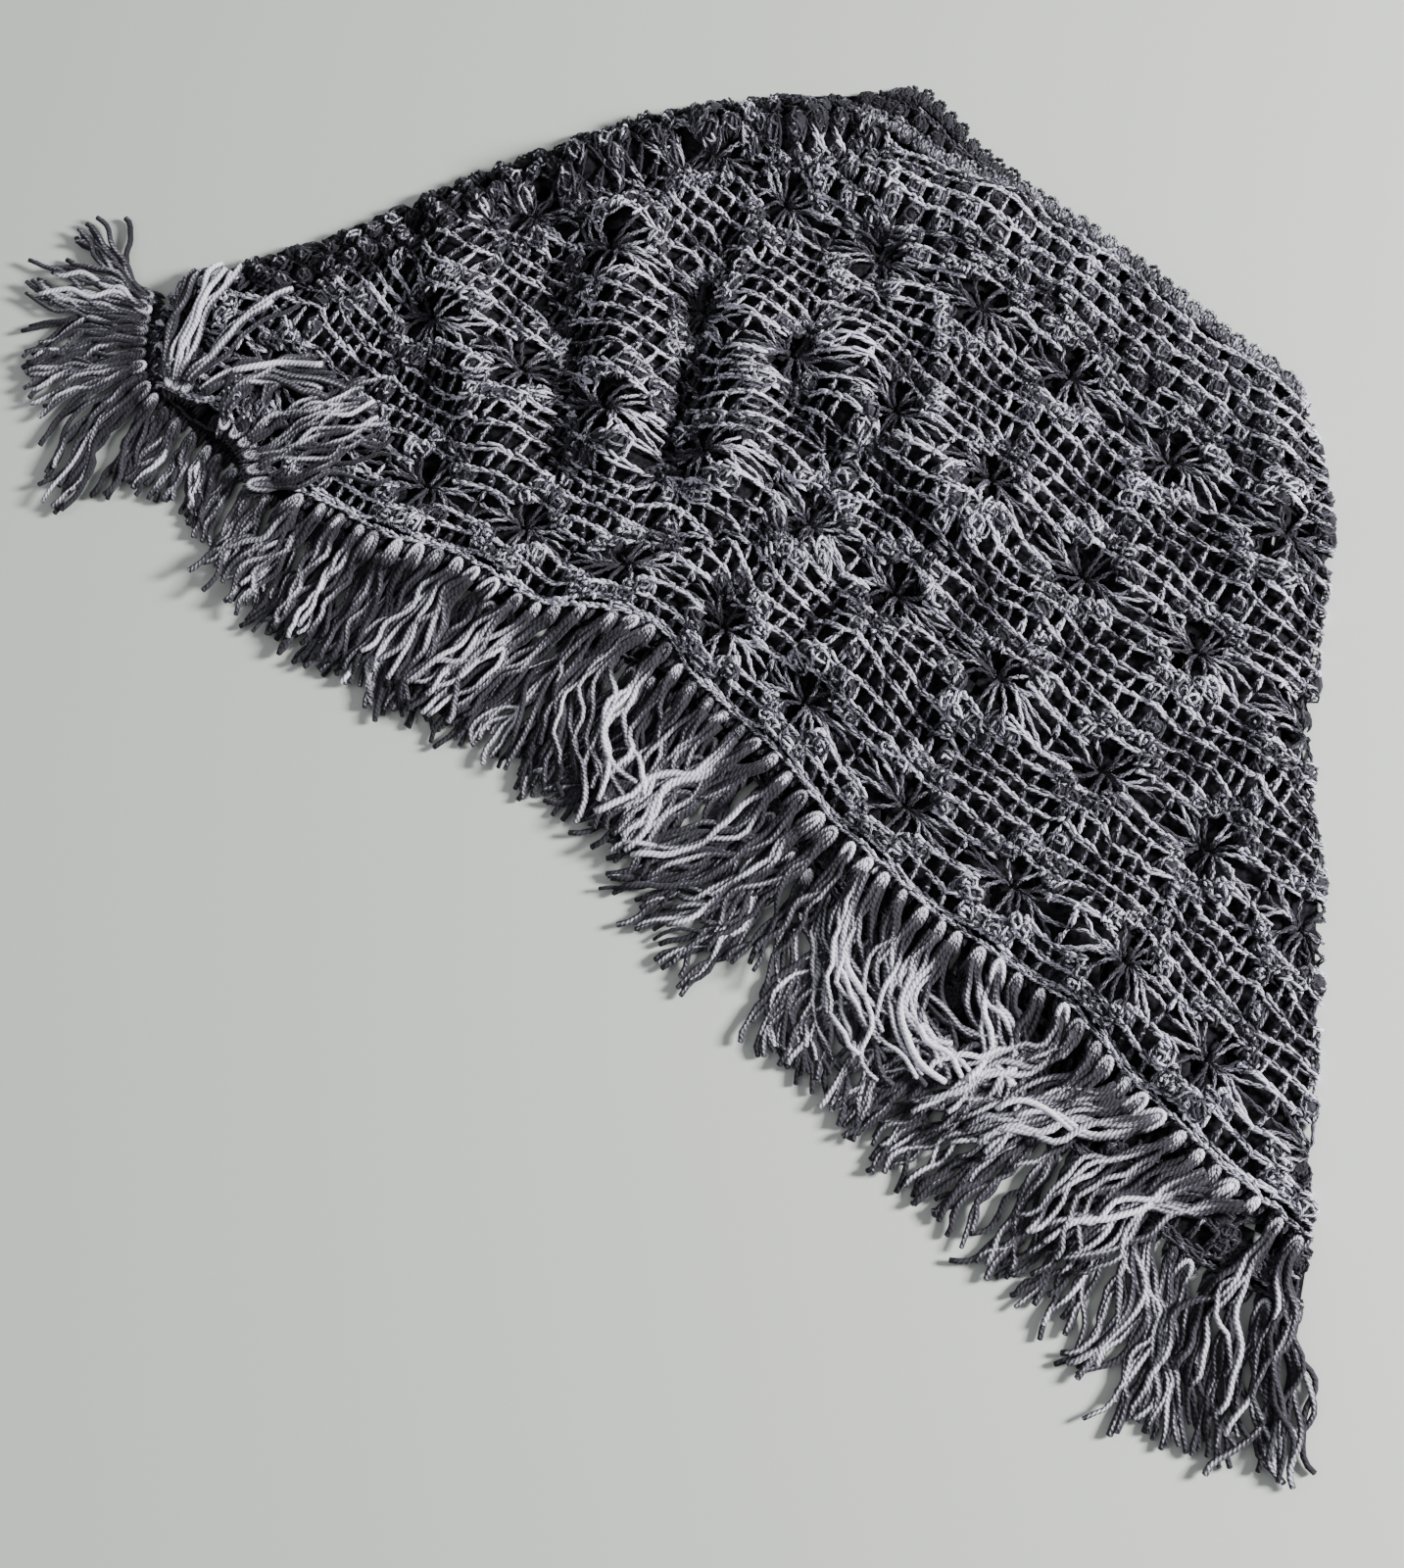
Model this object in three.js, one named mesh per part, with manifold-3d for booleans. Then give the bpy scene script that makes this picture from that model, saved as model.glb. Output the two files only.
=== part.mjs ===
// A crochet poncho laid out flat on a floor, modelled in millimetres with +Z up.
// X runs along the rows of crochet, from the left fold to the right fold, and Y from hem to neck.
// The origin is at the middle of the underside of the whole poncho, fringe included.
// Two halves lie on each other: the back half flat on the floor, the front half loosely on it.

import * as THREE from "three";
import Module from "manifold-3d";

const wasm = await Module();
wasm.setup();

// Driving dimensions of the garment
const NECK_TO_HEM = 290;
const REPEAT_WIDTH = 62;
const REPEAT_HEIGHT = 67;
const STAR_COLUMN = 24;
const STAR_ROW = 28;
const STAR_ROWS = 4;
const WALL = 3;
const SEAM_GAP = 0.3;

// Relief of the stitch pattern: bobble rings stand up, star centres sink in
const RING_RISE = 2.4;
const RING_WIDTH = 0.3;
const STAR_SINK = 1.2;
const YOKE_RISE = 1;

// Gaps between the legs of a star
const GAP_INNER = 5;
const GAP_OUTER = 16;
const GAP_HALF = 3.6;
const GAPS_A_STAR = 4;

// How loosely the front half lies: it rises from its folds to a soft, air-filled middle
const FRONT_FLOOR = WALL + SEAM_GAP;
const LOOSE_LIFT = 4;
const EDGE_SPAN = 22;

// Fringe strips and locks
const STRIP_WIDTH = 4;
const STRIP_HEIGHT = 2.4;
const LOCK_RADIUS = 2;
const LOCK_END_SHARE = 0.55;
const LOCK_CLEAR = 0.5;
const FRONT_LOCK_HEIGHT = 5.4;
const TURNED_CLEAR = 1.2;
const TURNED_RISE = 0.6;
const TURNED_KNOT = 1.6;

// Shell edging round the neck
const SHELL_WIDTH = 9;
const SHELL_DEPTH = 9;
const SHELL_BAND = 4;
const SHELL_HEIGHT = 2.6;
const SHELL_RISE = 1.4;

// Hem of the front half, as it lies: place along the rows, and height above the middle line
const FRONT_HEM = [
  { x: -364, y: -166 },
  { x: -330, y: -170 },
  { x: -290, y: -161 },
  { x: -250, y: -175 },
  { x: -214, y: -167 },
  { x: -182, y: -163 },
  { x: -157, y: -151 },
  { x: -102, y: -146 },
  { x: -80, y: -131 },
  { x: -60, y: -122 },
  { x: -43, y: -124 },
  { x: -28, y: -133 },
  { x: 30, y: -138 },
  { x: 66, y: -148 },
  { x: 125, y: -154 },
  { x: 198, y: -151 },
  { x: 225, y: -159 },
  { x: 284, y: -168 },
  { x: 331, y: -171 },
];

// Hem of the back half: it shows past the front hem towards the right
const BACK_HEM = [
  { x: -364, y: -170 },
  { x: -330, y: -174 },
  { x: -250, y: -179 },
  { x: -182, y: -167 },
  { x: -100, y: -152 },
  { x: -40, y: -140 },
  { x: 20, y: -150 },
  { x: 80, y: -172 },
  { x: 150, y: -187 },
  { x: 225, y: -198 },
  { x: 300, y: -206 },
  { x: 346, y: -196 },
];

// Neck edge of each half
const FRONT_NECK = [
  { x: -364, y: 150 },
  { x: -137, y: 151 },
  { x: -100, y: 147 },
  { x: -50, y: 152 },
  { x: 0, y: 147 },
  { x: 60, y: 140 },
  { x: 114, y: 138 },
  { x: 346, y: 134 },
];
const BACK_NECK = [
  { x: -364, y: 154 },
  { x: -137, y: 156 },
  { x: -118, y: 163 },
  { x: -80, y: 158 },
  { x: -40, y: 152 },
  { x: 0, y: 146 },
  { x: 60, y: 139 },
  { x: 114, y: 137 },
  { x: 346, y: 133 },
];

// Side folds: how far out the rows reach at each height above the hem
const LEFT_FOLD = [
  { v: 0, x: -330 },
  { v: 19, x: -354 },
  { v: 37, x: -360 },
  { v: 65, x: -340 },
  { v: 108, x: -304 },
  { v: 149, x: -280 },
  { v: 191, x: -254 },
  { v: 221, x: -226 },
  { v: 250, x: -190 },
  { v: 272, x: -164 },
  { v: 290, x: -137 },
];
const FRONT_RIGHT_FOLD = [
  { v: 0, x: 331 },
  { v: 28, x: 309 },
  { v: 60, x: 290 },
  { v: 90, x: 268 },
  { v: 125, x: 243 },
  { v: 155, x: 211 },
  { v: 190, x: 193 },
  { v: 215, x: 181 },
  { v: 240, x: 167 },
  { v: 268, x: 143 },
  { v: 290, x: 114 },
];

const BACK_RIGHT_FOLD = [
  { v: 0, x: 346 },
  { v: 30, x: 331 },
  { v: 54, x: 309 },
  { v: 85, x: 290 },
  { v: 112, x: 268 },
  { v: 144, x: 243 },
  { v: 172, x: 211 },
  { v: 204, x: 193 },
  { v: 225, x: 181 },
  { v: 246, x: 167 },
  { v: 271, x: 143 },
  { v: 290, x: 114 },
];

// Where the columns of the pattern lie: gathered by folds on the left, eased on the right
const COLUMNS = [
  { u: -450, x: -369 },
  { u: -286, x: -236 },
  { u: -224, x: -187 },
  { u: -162, x: -135 },
  { u: -100, x: -86 },
  { u: -38, x: -29 },
  { u: 24, x: 24 },
  { u: 148, x: 148 },
  { u: 210, x: 204 },
  { u: 272, x: 255 },
  { u: 360, x: 340 },
];

// Folds of the front half: ridges have a positive rise, troughs a negative one
const FOLDS = [
  { x0: -272, y0: -12, x1: -236, y1: 46, half: 12, rise: 11 },
  { x0: -236, y0: 46, x1: -196, y1: 94, half: 12, rise: 12 },
  { x0: -196, y0: 94, x1: -150, y1: 138, half: 11, rise: 10 },
  { x0: -252, y0: -10, x1: -194, y1: 70, half: 11, rise: -9 },
  { x0: -194, y0: 70, x1: -120, y1: 130, half: 10, rise: -8 },
  { x0: -250, y0: -35, x1: -171, y1: -95, half: 17, rise: 8 },
  { x0: -206, y0: -10, x1: -140, y1: -88, half: 9, rise: -9 },
  { x0: -190, y0: 22, x1: -122, y1: -66, half: 14, rise: 10 },
  { x0: -148, y0: 36, x1: -101, y1: -62, half: 9, rise: -8 },
  { x0: -112, y0: 30, x1: -72, y1: -48, half: 15, rise: 9 },
  { x0: -43, y0: -8, x1: -22, y1: -38, half: 9, rise: -7 },
  { x0: -22, y0: -38, x1: -72, y1: -84, half: 8, rise: -7 },
  { x0: -37, y0: -98, x1: -40, y1: -126, half: 10, rise: -7 },
  { x0: -66, y0: 36, x1: -46, y1: 6, half: 13, rise: 6 },
  { x0: -92, y0: 92, x1: -74, y1: 66, half: 9, rise: -5 },
  { x0: -121, y0: 104, x1: -48, y1: 132, half: 15, rise: 7 },
  { x0: -10, y0: 14, x1: 36, y1: 0, half: 15, rise: 7 },
  { x0: -4, y0: -60, x1: 6, y1: -92, half: 9, rise: -5 },
  { x0: 24, y0: -86, x1: 78, y1: -66, half: 17, rise: 7 },
  { x0: 104, y0: -52, x1: 150, y1: -12, half: 20, rise: 6 },
  { x0: 56, y0: 75, x1: 84, y1: 76, half: 14, rise: -3 },
  { x0: 200, y0: -68, x1: 212, y1: -92, half: 11, rise: -6 },
  { x0: 180, y0: -120, x1: 238, y1: -140, half: 15, rise: 6 },
  { x0: 120, y0: 112, x1: 196, y1: 10, half: 12, rise: 4 },
  { x0: 196, y0: 10, x1: 296, y1: -120, half: 12, rise: 4 },
];

// Bunches of fringe: where their roots start and end on the hem, how many locks, how far the tips
// lie from the hem, and how far they lean along it
const FRONT_BUNCHES = [
  { name: "fringe_front_1", from: -234, to: -168, locks: 9, reach: 74, lean0: -12, lean1: -4 },
  { name: "fringe_front_2", from: -168, to: -104, locks: 9, reach: 70, lean0: -4, lean1: 2 },
  { name: "fringe_front_3", from: -104, to: -50, locks: 8, reach: 68, lean0: 4, lean1: -8 },
  { name: "fringe_front_4", from: -50, to: 12, locks: 9, reach: 78, lean0: 4, lean1: 4 },
  { name: "fringe_front_5", from: 12, to: 68, locks: 8, reach: 84, lean0: 6, lean1: 2 },
  { name: "fringe_front_6", from: 68, to: 132, locks: 9, reach: 68, lean0: 32, lean1: 20 },
  { name: "fringe_front_7", from: 132, to: 204, locks: 10, reach: 78, lean0: 26, lean1: 2 },
  { name: "fringe_front_8", from: 204, to: 302, locks: 13, reach: 78, lean0: 2, lean1: -36 },
  { name: "fringe_front_9", from: 302, to: 331, locks: 5, reach: 84, lean0: 30, lean1: 42 },
];
const BACK_BUNCHES = [
  { name: "fringe_back_1", from: -326, to: -236, locks: 10, reach: 36, lean0: 4, lean1: 0 },
  { name: "fringe_back_2", from: -236, to: -150, locks: 9, reach: 66, lean0: 4, lean1: -8 },
  { name: "fringe_back_3", from: -150, to: -50, locks: 10, reach: 62, lean0: 8, lean1: -6 },
  { name: "fringe_back_4", from: -50, to: 60, locks: 12, reach: 76, lean0: 8, lean1: -4 },
  { name: "fringe_back_5", from: 60, to: 196, locks: 17, reach: 76, lean0: -2, lean1: -12 },
  { name: "fringe_back_6", from: 196, to: 290, locks: 12, reach: 68, lean0: 12, lean1: -10 },
  { name: "fringe_back_7", from: 290, to: 344, locks: 7, reach: 74, lean0: 4, lean1: 26 },
];

// Tips of the locks fanned round the blunt left tip, from the top round to the hem
const TIP_LOCKS = [
  { x: -416, y: -119 },
  { x: -421, y: -138 },
  { x: -421, y: -156 },
  { x: -412, y: -174 },
  { x: -394, y: -194 },
  { x: -384, y: -212 },
  { x: -368, y: -233 },
  { x: -352, y: -244 },
  { x: -340, y: -262 },
];

// Locks thrown back over the front half near the left tip
const TURNED_BUNCHES = [
  {
    name: "fringe_turned_1",
    from: -326,
    to: -296,
    locks: 7,
    tips: { x0: -366, y0: -112, x1: -282, y1: -104, bow: 12 },
  },
  {
    name: "fringe_turned_2",
    from: -292,
    to: -240,
    locks: 9,
    tips: { x0: -284, y0: -98, x1: -204, y1: -142, bow: 12 },
  },
];

const YARN = { color: 0x67656f, roughness: 0.95, metalness: 0 };
const YARN_LIGHT = { color: 0x8b8998, roughness: 0.95, metalness: 0 };
const YARN_DARK = { color: 0x4b4952, roughness: 0.95, metalness: 0 };

// Value of a table's column at a place, by straight lines between its rows
function read(table, placeKey, valueKey, place) {
  const last = table.length - 1;
  let row = 0;
  while (row < last - 1 && table[row + 1][placeKey] < place) row += 1;
  const low = table[row];
  const high = table[row + 1];
  const share = (place - low[placeKey]) / (high[placeKey] - low[placeKey]);
  const held = Math.min(Math.max(share, 0), 1);
  return low[valueKey] + held * (high[valueKey] - low[valueKey]);
}

function smooth(share) {
  const held = Math.min(Math.max(share, 0), 1);
  return held * held * (3 - 2 * held);
}

// A closed body from corner points and triangles that face out
function solidOf(points, faces) {
  const mesh = new wasm.Mesh({
    numProp: 3,
    vertProperties: new Float32Array(points.flat()),
    triVerts: new Uint32Array(faces.flat()),
  });
  return new wasm.Manifold(mesh);
}

// A closed body through rings with equal numbers of corners, both ends capped
function loft(rings) {
  const corners = rings[0].length;
  const last = (rings.length - 1) * corners;
  const faces = [];
  for (let ring = 0; ring + 1 < rings.length; ring += 1) {
    for (let k = 0; k < corners; k += 1) {
      const a = ring * corners + k;
      const b = ring * corners + ((k + 1) % corners);
      faces.push([a, b, b + corners], [a, b + corners, a + corners]);
    }
  }
  for (let k = 1; k + 1 < corners; k += 1) {
    faces.push([0, k + 1, k], [last, last + k, last + k + 1]);
  }
  return solidOf(rings.flat(), faces);
}

// The two halves: each knows its hem, its neck, its right fold and how many cells cover a repeat
const front = { hem: FRONT_HEM, neck: FRONT_NECK, right: FRONT_RIGHT_FOLD, cells: 4 };
const back = { hem: BACK_HEM, neck: BACK_NECK, right: BACK_RIGHT_FOLD, cells: 2 };

function placeY(half, x, v) {
  const hem = read(half.hem, "x", "y", x);
  return hem + ((read(half.neck, "x", "y", x) - hem) * v) / NECK_TO_HEM;
}

// Where a place lies in its repeat: 0 on a star's centre, 0.5 on its bobble ring, 1 in the plain mesh
function ringPlace(u, v) {
  const across = (u - STAR_COLUMN) / REPEAT_WIDTH;
  const up = (v - STAR_ROW) / REPEAT_HEIGHT;
  return Math.abs(across - Math.round(across)) + Math.abs(up - Math.round(up));
}

function relief(u, v) {
  if (v > STAR_ROW + (STAR_ROWS - 0.5) * REPEAT_HEIGHT) return YOKE_RISE;
  const place = ringPlace(u, v);
  const ring = Math.max(0, 1 - Math.abs(place - 0.5) / RING_WIDTH);
  const sunk = Math.max(0, 1 - place / 0.25);
  return RING_RISE * ring - STAR_SINK * sunk;
}

// Height of one fold at a place: a soft ridge or trough along its line
function foldRise(fold, x, y) {
  const alongX = fold.x1 - fold.x0;
  const alongY = fold.y1 - fold.y0;
  const length2 = alongX * alongX + alongY * alongY;
  const share = ((x - fold.x0) * alongX + (y - fold.y0) * alongY) / length2;
  const held = Math.min(Math.max(share, 0), 1);
  const offX = x - fold.x0 - held * alongX;
  const offY = y - fold.y0 - held * alongY;
  return fold.rise * Math.exp(-(offX * offX + offY * offY) / (fold.half * fold.half));
}

// How far the front half stands off the back half
function frontLift(x, y, v) {
  const inLeft = x - read(LEFT_FOLD, "v", "x", v);
  const inRight = read(FRONT_RIGHT_FOLD, "v", "x", v) - x;
  const side = smooth(Math.min(inLeft, inRight) / EDGE_SPAN);
  const folds = FOLDS.reduce((sum, fold) => sum + foldRise(fold, x, y), 0);
  return Math.max(0, side * (LOOSE_LIFT + folds));
}

// Points of one row of a half, from the left fold to the right fold
function rowPoints(half, v) {
  const left = read(LEFT_FOLD, "v", "x", v);
  const right = read(half.right, "v", "x", v);
  const step = REPEAT_WIDTH / half.cells;
  const xs = [left, left + 6];
  for (let u = STAR_COLUMN - 8 * REPEAT_WIDTH; u < 6 * REPEAT_WIDTH; u += step) {
    const x = read(COLUMNS, "u", "x", u);
    if (x > left + 12 && x < right - 12) xs.push(x);
  }
  xs.push(right - 6, right);
  return xs.map((x) => ({ x, y: placeY(half, x, v), u: read(COLUMNS, "x", "u", x), v }));
}

function rowsOf(half) {
  const step = REPEAT_HEIGHT / half.cells;
  const rows = [rowPoints(half, 0), rowPoints(half, STAR_ROW - REPEAT_HEIGHT / 4)];
  for (let v = STAR_ROW; v < NECK_TO_HEM - step / 3; v += step) rows.push(rowPoints(half, v));
  rows.push(rowPoints(half, NECK_TO_HEM));
  return rows;
}

// A wall over rows of points that need not be equally long: an outer and an inner skin and a rim
function wallOver(rows, outer, inner) {
  const points = [];
  const faces = [];
  const ids = rows.map((row) =>
    row.map((at) => {
      points.push([at.x, at.y, outer(at)], [at.x, at.y, inner(at)]);
      return points.length - 2;
    }),
  );
  const skin = (a, b, c) => faces.push([a, b, c], [a + 1, c + 1, b + 1]);
  for (let j = 0; j + 1 < rows.length; j += 1) {
    const low = ids[j];
    const high = ids[j + 1];
    let a = 0;
    let b = 0;
    while (a + 1 < low.length || b + 1 < high.length) {
      const lowNext = a + 1 < low.length ? rows[j][a + 1].x : Infinity;
      const highNext = b + 1 < high.length ? rows[j + 1][b + 1].x : Infinity;
      if (lowNext <= highNext) {
        skin(low[a], low[a + 1], high[b]);
        a += 1;
      } else {
        skin(low[a], high[b + 1], high[b]);
        b += 1;
      }
    }
  }
  const rim = [
    ...ids[0],
    ...ids.slice(1).map((row) => row.at(-1)),
    ...ids.at(-1).slice(0, -1).reverse(),
    ...ids.slice(1, -1).map((row) => row[0]).reverse(),
  ];
  rim.forEach((p, k) => {
    const q = rim[(k + 1) % rim.length];
    faces.push([q, p, p + 1], [q, p + 1, q + 1]);
  });
  return solidOf(points, faces);
}

// Centres of the stars that lie whole inside a half
function stars(half) {
  const found = [];
  for (let row = 0; row < STAR_ROWS; row += 1) {
    const v = STAR_ROW + row * REPEAT_HEIGHT;
    for (let column = -8; column <= 6; column += 1) {
      const x = read(COLUMNS, "u", "x", STAR_COLUMN + column * REPEAT_WIDTH);
      const inLeft = x - read(LEFT_FOLD, "v", "x", v);
      const inRight = read(half.right, "v", "x", v) - x;
      if (Math.min(inLeft, inRight) > GAP_OUTER + 8) found.push({ x, y: placeY(half, x, v) });
    }
  }
  return found;
}

// Wedge-shaped gaps between the legs round each star, as upright bodies that cut a wall
function gapsIn(half) {
  const bodies = [];
  for (const star of stars(half)) {
    for (let k = 0; k < GAPS_A_STAR; k += 1) {
      const turn = ((k + 0.5) / GAPS_A_STAR) * 2 * Math.PI;
      const along = [Math.cos(turn), Math.sin(turn)];
      const at = (reach, aside, z) => [
        star.x + reach * along[0] - aside * along[1],
        star.y + reach * along[1] + aside * along[0],
        z,
      ];
      const ring = (z) => [
        at(GAP_INNER, 0, z),
        at(GAP_OUTER, -GAP_HALF, z),
        at(GAP_OUTER, GAP_HALF, z),
      ];
      bodies.push(loft([ring(-WALL), ring(60)]));
    }
  }
  return wasm.Manifold.union(bodies);
}

const frontRows = rowsOf(front);
const backRows = rowsOf(back);
const frontInner = (at) => FRONT_FLOOR + frontLift(at.x, at.y, at.v);

function frontPanel() {
  const wall = wallOver(frontRows, (at) => frontInner(at) + WALL + relief(at.u, at.v), frontInner);
  return wall.subtract(gapsIn(front));
}

function backPanel() {
  const wall = wallOver(backRows, () => WALL, () => 0);
  return wall.subtract(gapsIn(back));
}

// The edge of a wall between two places along it, at the same corners as the wall itself
function edgeBetween(row, from, to) {
  const inside = row.filter((at) => at.x > from + 1 && at.x < to - 1).map((at) => at.x);
  return [from + SEAM_GAP / 2, ...inside, to - SEAM_GAP / 2].map((x) => ({
    x,
    y: read(row, "x", "y", x),
    v: row[0].v,
  }));
}

// A narrow band along a wall's edge, parted from it by the seam gap
function bandAlong(edge, near, far, low, high) {
  return loft(
    edge.map((at) => [
      [at.x, at.y + near, low(at)],
      [at.x, at.y + far, low(at)],
      [at.x, at.y + far, high(at)],
      [at.x, at.y + near, high(at)],
    ]),
  );
}

// One lock of yarn through points on its way: three-sided, tight at its knot and at its tip
function lock(way) {
  const rings = way.map((at, k) => {
    const before = way[Math.max(k - 1, 0)];
    const after = way[Math.min(k + 1, way.length - 1)];
    const dx = after.x - before.x;
    const dy = after.y - before.y;
    const isEnd = k === 0 || k === way.length - 1;
    const size = (isEnd ? LOCK_END_SHARE : 1) * LOCK_RADIUS;
    const half = (0.87 * size) / Math.hypot(dx, dy);
    return [
      [at.x - dy * half, at.y + dx * half, at.z - size / 2],
      [at.x, at.y, at.z + size],
      [at.x + dy * half, at.y - dx * half, at.z - size / 2],
    ];
  });
  return loft(rings);
}

// A bunch of fringe: a strip along the hem with its locks, which curve as they lean
function bunch(rows, row, height, lift) {
  const edge = edgeBetween(rows[0], row.from, row.to);
  const low = (at) => height - STRIP_HEIGHT / 2 + lift(at);
  const strip = bandAlong(edge, -STRIP_WIDTH, -SEAM_GAP, low, (at) => low(at) + STRIP_HEIGHT);
  const bodies = [strip];
  for (let k = 0; k < row.locks; k += 1) {
    const share = (k + 0.5) / row.locks;
    const x = row.from + share * (row.to - row.from);
    const root = { x, y: read(rows[0], "x", "y", x), v: 0 };
    const lean = row.lean0 + share * (row.lean1 - row.lean0);
    const reach = row.reach * (1 + 0.1 * Math.sin(2.3 * k + row.from));
    const start = height + lift(root);
    const way = [0, 0.45, 1].map((along) => ({
      x: x + lean * ((reach * along) / row.reach) ** 1.4,
      y: root.y - 2.5 - (reach - 2.5) * along,
      z: along === 0 ? start : height + 0.2 * lift(root),
    }));
    bodies.push(lock(way));
  }
  return wasm.Manifold.union(bodies);
}

// Locks that were thrown back and lie over the front half
function turnedBunch(row) {
  const edge = edgeBetween(frontRows[0], row.from, row.to);
  const lift = (at) => frontLift(at.x, at.y, 0);
  const low = (at) => FRONT_LOCK_HEIGHT - STRIP_HEIGHT / 2 + lift(at);
  const strip = bandAlong(edge, -STRIP_WIDTH, -SEAM_GAP, low, (at) => low(at) + 3 * STRIP_HEIGHT);
  const bodies = [strip];
  const over = (x, y) => {
    const hem = placeY(front, x, 0);
    const v = ((y - hem) / (placeY(front, x, NECK_TO_HEM) - hem)) * NECK_TO_HEM;
    return FRONT_FLOOR + WALL + RING_RISE + LOCK_RADIUS + TURNED_CLEAR + frontLift(x, y, v);
  };
  for (let k = 0; k < row.locks; k += 1) {
    const share = (k + 0.5) / row.locks;
    const x = row.from + share * (row.to - row.from);
    const y = read(frontRows[0], "x", "y", x) - STRIP_WIDTH / 2;
    const tipX = row.tips.x0 + share * (row.tips.x1 - row.tips.x0);
    const bow = row.tips.bow * Math.sin(Math.PI * share);
    const tipY = row.tips.y0 + share * (row.tips.y1 - row.tips.y0) + bow;
    const way = [0, 0.25, 0.6, 1].map((along) => {
      const at = { x: x + (tipX - x) * along, y: y + (tipY - y) * along };
      return { ...at, z: over(at.x, at.y) + (along > 0 ? TURNED_RISE : -TURNED_KNOT) };
    });
    bodies.push(lock(way));
  }
  return wasm.Manifold.union(bodies);
}

// The bunch round the blunt left tip: a strip just outside the back half, and its fan of locks
function tipBunch() {
  const wall = backRows.slice(0, 3).map((row) => row[0]).reverse();
  const out = { x: wall[2].y - wall[0].y, y: wall[0].x - wall[2].x };
  const size = Math.hypot(out.x, out.y);
  const offset = (at, reach) => [at.x + (reach * out.x) / size, at.y + (reach * out.y) / size];
  const high = LOCK_CLEAR + STRIP_HEIGHT;
  const strip = loft(
    wall.map((at) => [
      [...offset(at, STRIP_WIDTH), LOCK_CLEAR],
      [...offset(at, 2 * SEAM_GAP), LOCK_CLEAR],
      [...offset(at, 2 * SEAM_GAP), high],
      [...offset(at, STRIP_WIDTH), high],
    ]),
  );
  const bodies = [strip];
  TIP_LOCKS.forEach((tip, k) => {
    const share = (k + 0.5) / TIP_LOCKS.length;
    const rootX = wall[0].x + share * (wall[2].x - wall[0].x);
    const rootY = wall[0].y + share * (wall[2].y - wall[0].y);
    const [x, y] = offset({ x: rootX, y: rootY }, STRIP_WIDTH - 1.5);
    const way = [0, 0.45, 1].map((along) => ({
      x: x + (tip.x - x) * along,
      y: y + (tip.y - y) * along,
      z: LOCK_CLEAR + LOCK_RADIUS / 2 + 2.4 * Math.sin(Math.PI * along),
    }));
    bodies.push(lock(way));
  });
  return wasm.Manifold.union(bodies);
}

// Shell edging along a neck edge: a band with a row of rounded shells on its outer side
function shellEdging(rows, low, high) {
  const row = rows.at(-1);
  const from = row[0].x;
  const to = row.at(-1).x;
  const shells = Math.round((to - from) / SHELL_WIDTH);
  const pitch = (to - from - SEAM_GAP) / shells;
  const sections = [];
  for (let k = 0; k <= 3 * shells; k += 1) {
    const x = from + SEAM_GAP / 2 + (k * pitch) / 3;
    const bulge = Math.abs(Math.sin((Math.PI * k) / 3));
    const at = { x, y: read(row, "x", "y", x), v: NECK_TO_HEM };
    const edgeY = at.y + SEAM_GAP;
    const outY = edgeY + SHELL_BAND + (SHELL_DEPTH - SHELL_BAND) * bulge;
    const top = high(at) + SHELL_RISE * bulge;
    sections.push([
      [x, edgeY, low(at)],
      [x, outY, low(at)],
      [x, outY - 1, top],
      [x, edgeY, high(at)],
    ]);
  }
  return loft(sections);
}

function meshOf(name, solid, finish) {
  const cut = solid.getMesh();
  const geometry = new THREE.BufferGeometry();
  geometry.setAttribute("position", new THREE.BufferAttribute(cut.vertProperties, 3));
  geometry.setIndex(new THREE.BufferAttribute(cut.triVerts, 1));
  geometry.computeVertexNormals();
  const mesh = new THREE.Mesh(geometry, new THREE.MeshStandardMaterial(finish));
  mesh.name = name;
  return mesh;
}

const poncho = new THREE.Group();
poncho.name = "poncho";
poncho.add(meshOf("panel_back", backPanel(), YARN_DARK));
poncho.add(meshOf("panel_front", frontPanel(), YARN));

const neckLow = (at) => FRONT_FLOOR + frontLift(at.x, at.y, at.v);
poncho.add(meshOf("neck_edging_back", shellEdging(backRows, () => 0, () => SHELL_HEIGHT - 1.2), YARN_DARK));
poncho.add(
  meshOf("neck_edging_front", shellEdging(frontRows, neckLow, (at) => neckLow(at) + SHELL_HEIGHT), YARN),
);

const backHeight = LOCK_CLEAR + STRIP_HEIGHT / 2;
for (const row of BACK_BUNCHES) {
  poncho.add(meshOf(row.name, bunch(backRows, row, backHeight, () => 0), YARN_DARK));
}
for (const row of FRONT_BUNCHES) {
  const lift = (at) => frontLift(at.x, at.y, 0);
  poncho.add(meshOf(row.name, bunch(frontRows, row, FRONT_LOCK_HEIGHT, lift), YARN_LIGHT));
}
poncho.add(meshOf("fringe_tip", tipBunch(), YARN));
for (const row of TURNED_BUNCHES) poncho.add(meshOf(row.name, turnedBunch(row), YARN_LIGHT));

// The origin goes to the middle of the underside
const box = new THREE.Box3().setFromObject(poncho);
poncho.position.set(-(box.min.x + box.max.x) / 2, -(box.min.y + box.max.y) / 2, -box.min.z);

export default poncho;
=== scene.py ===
"""Looks of a fringed crochet poncho that lies flat on a pale floor.

Every stitch is yarn: chain links, posts, bobbles, star legs, neck shells and fringe are short
lengths of yarn, each modelled once and laid over the draped halves. Lengths in the classes are
millimetres, with X along the rows of crochet, Y from hem to neck and Z up from the floor.
"""

import logging
import math
from dataclasses import dataclass, field
from enum import Enum

import bpy
import numpy as np
from mathutils import Matrix, Vector

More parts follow.
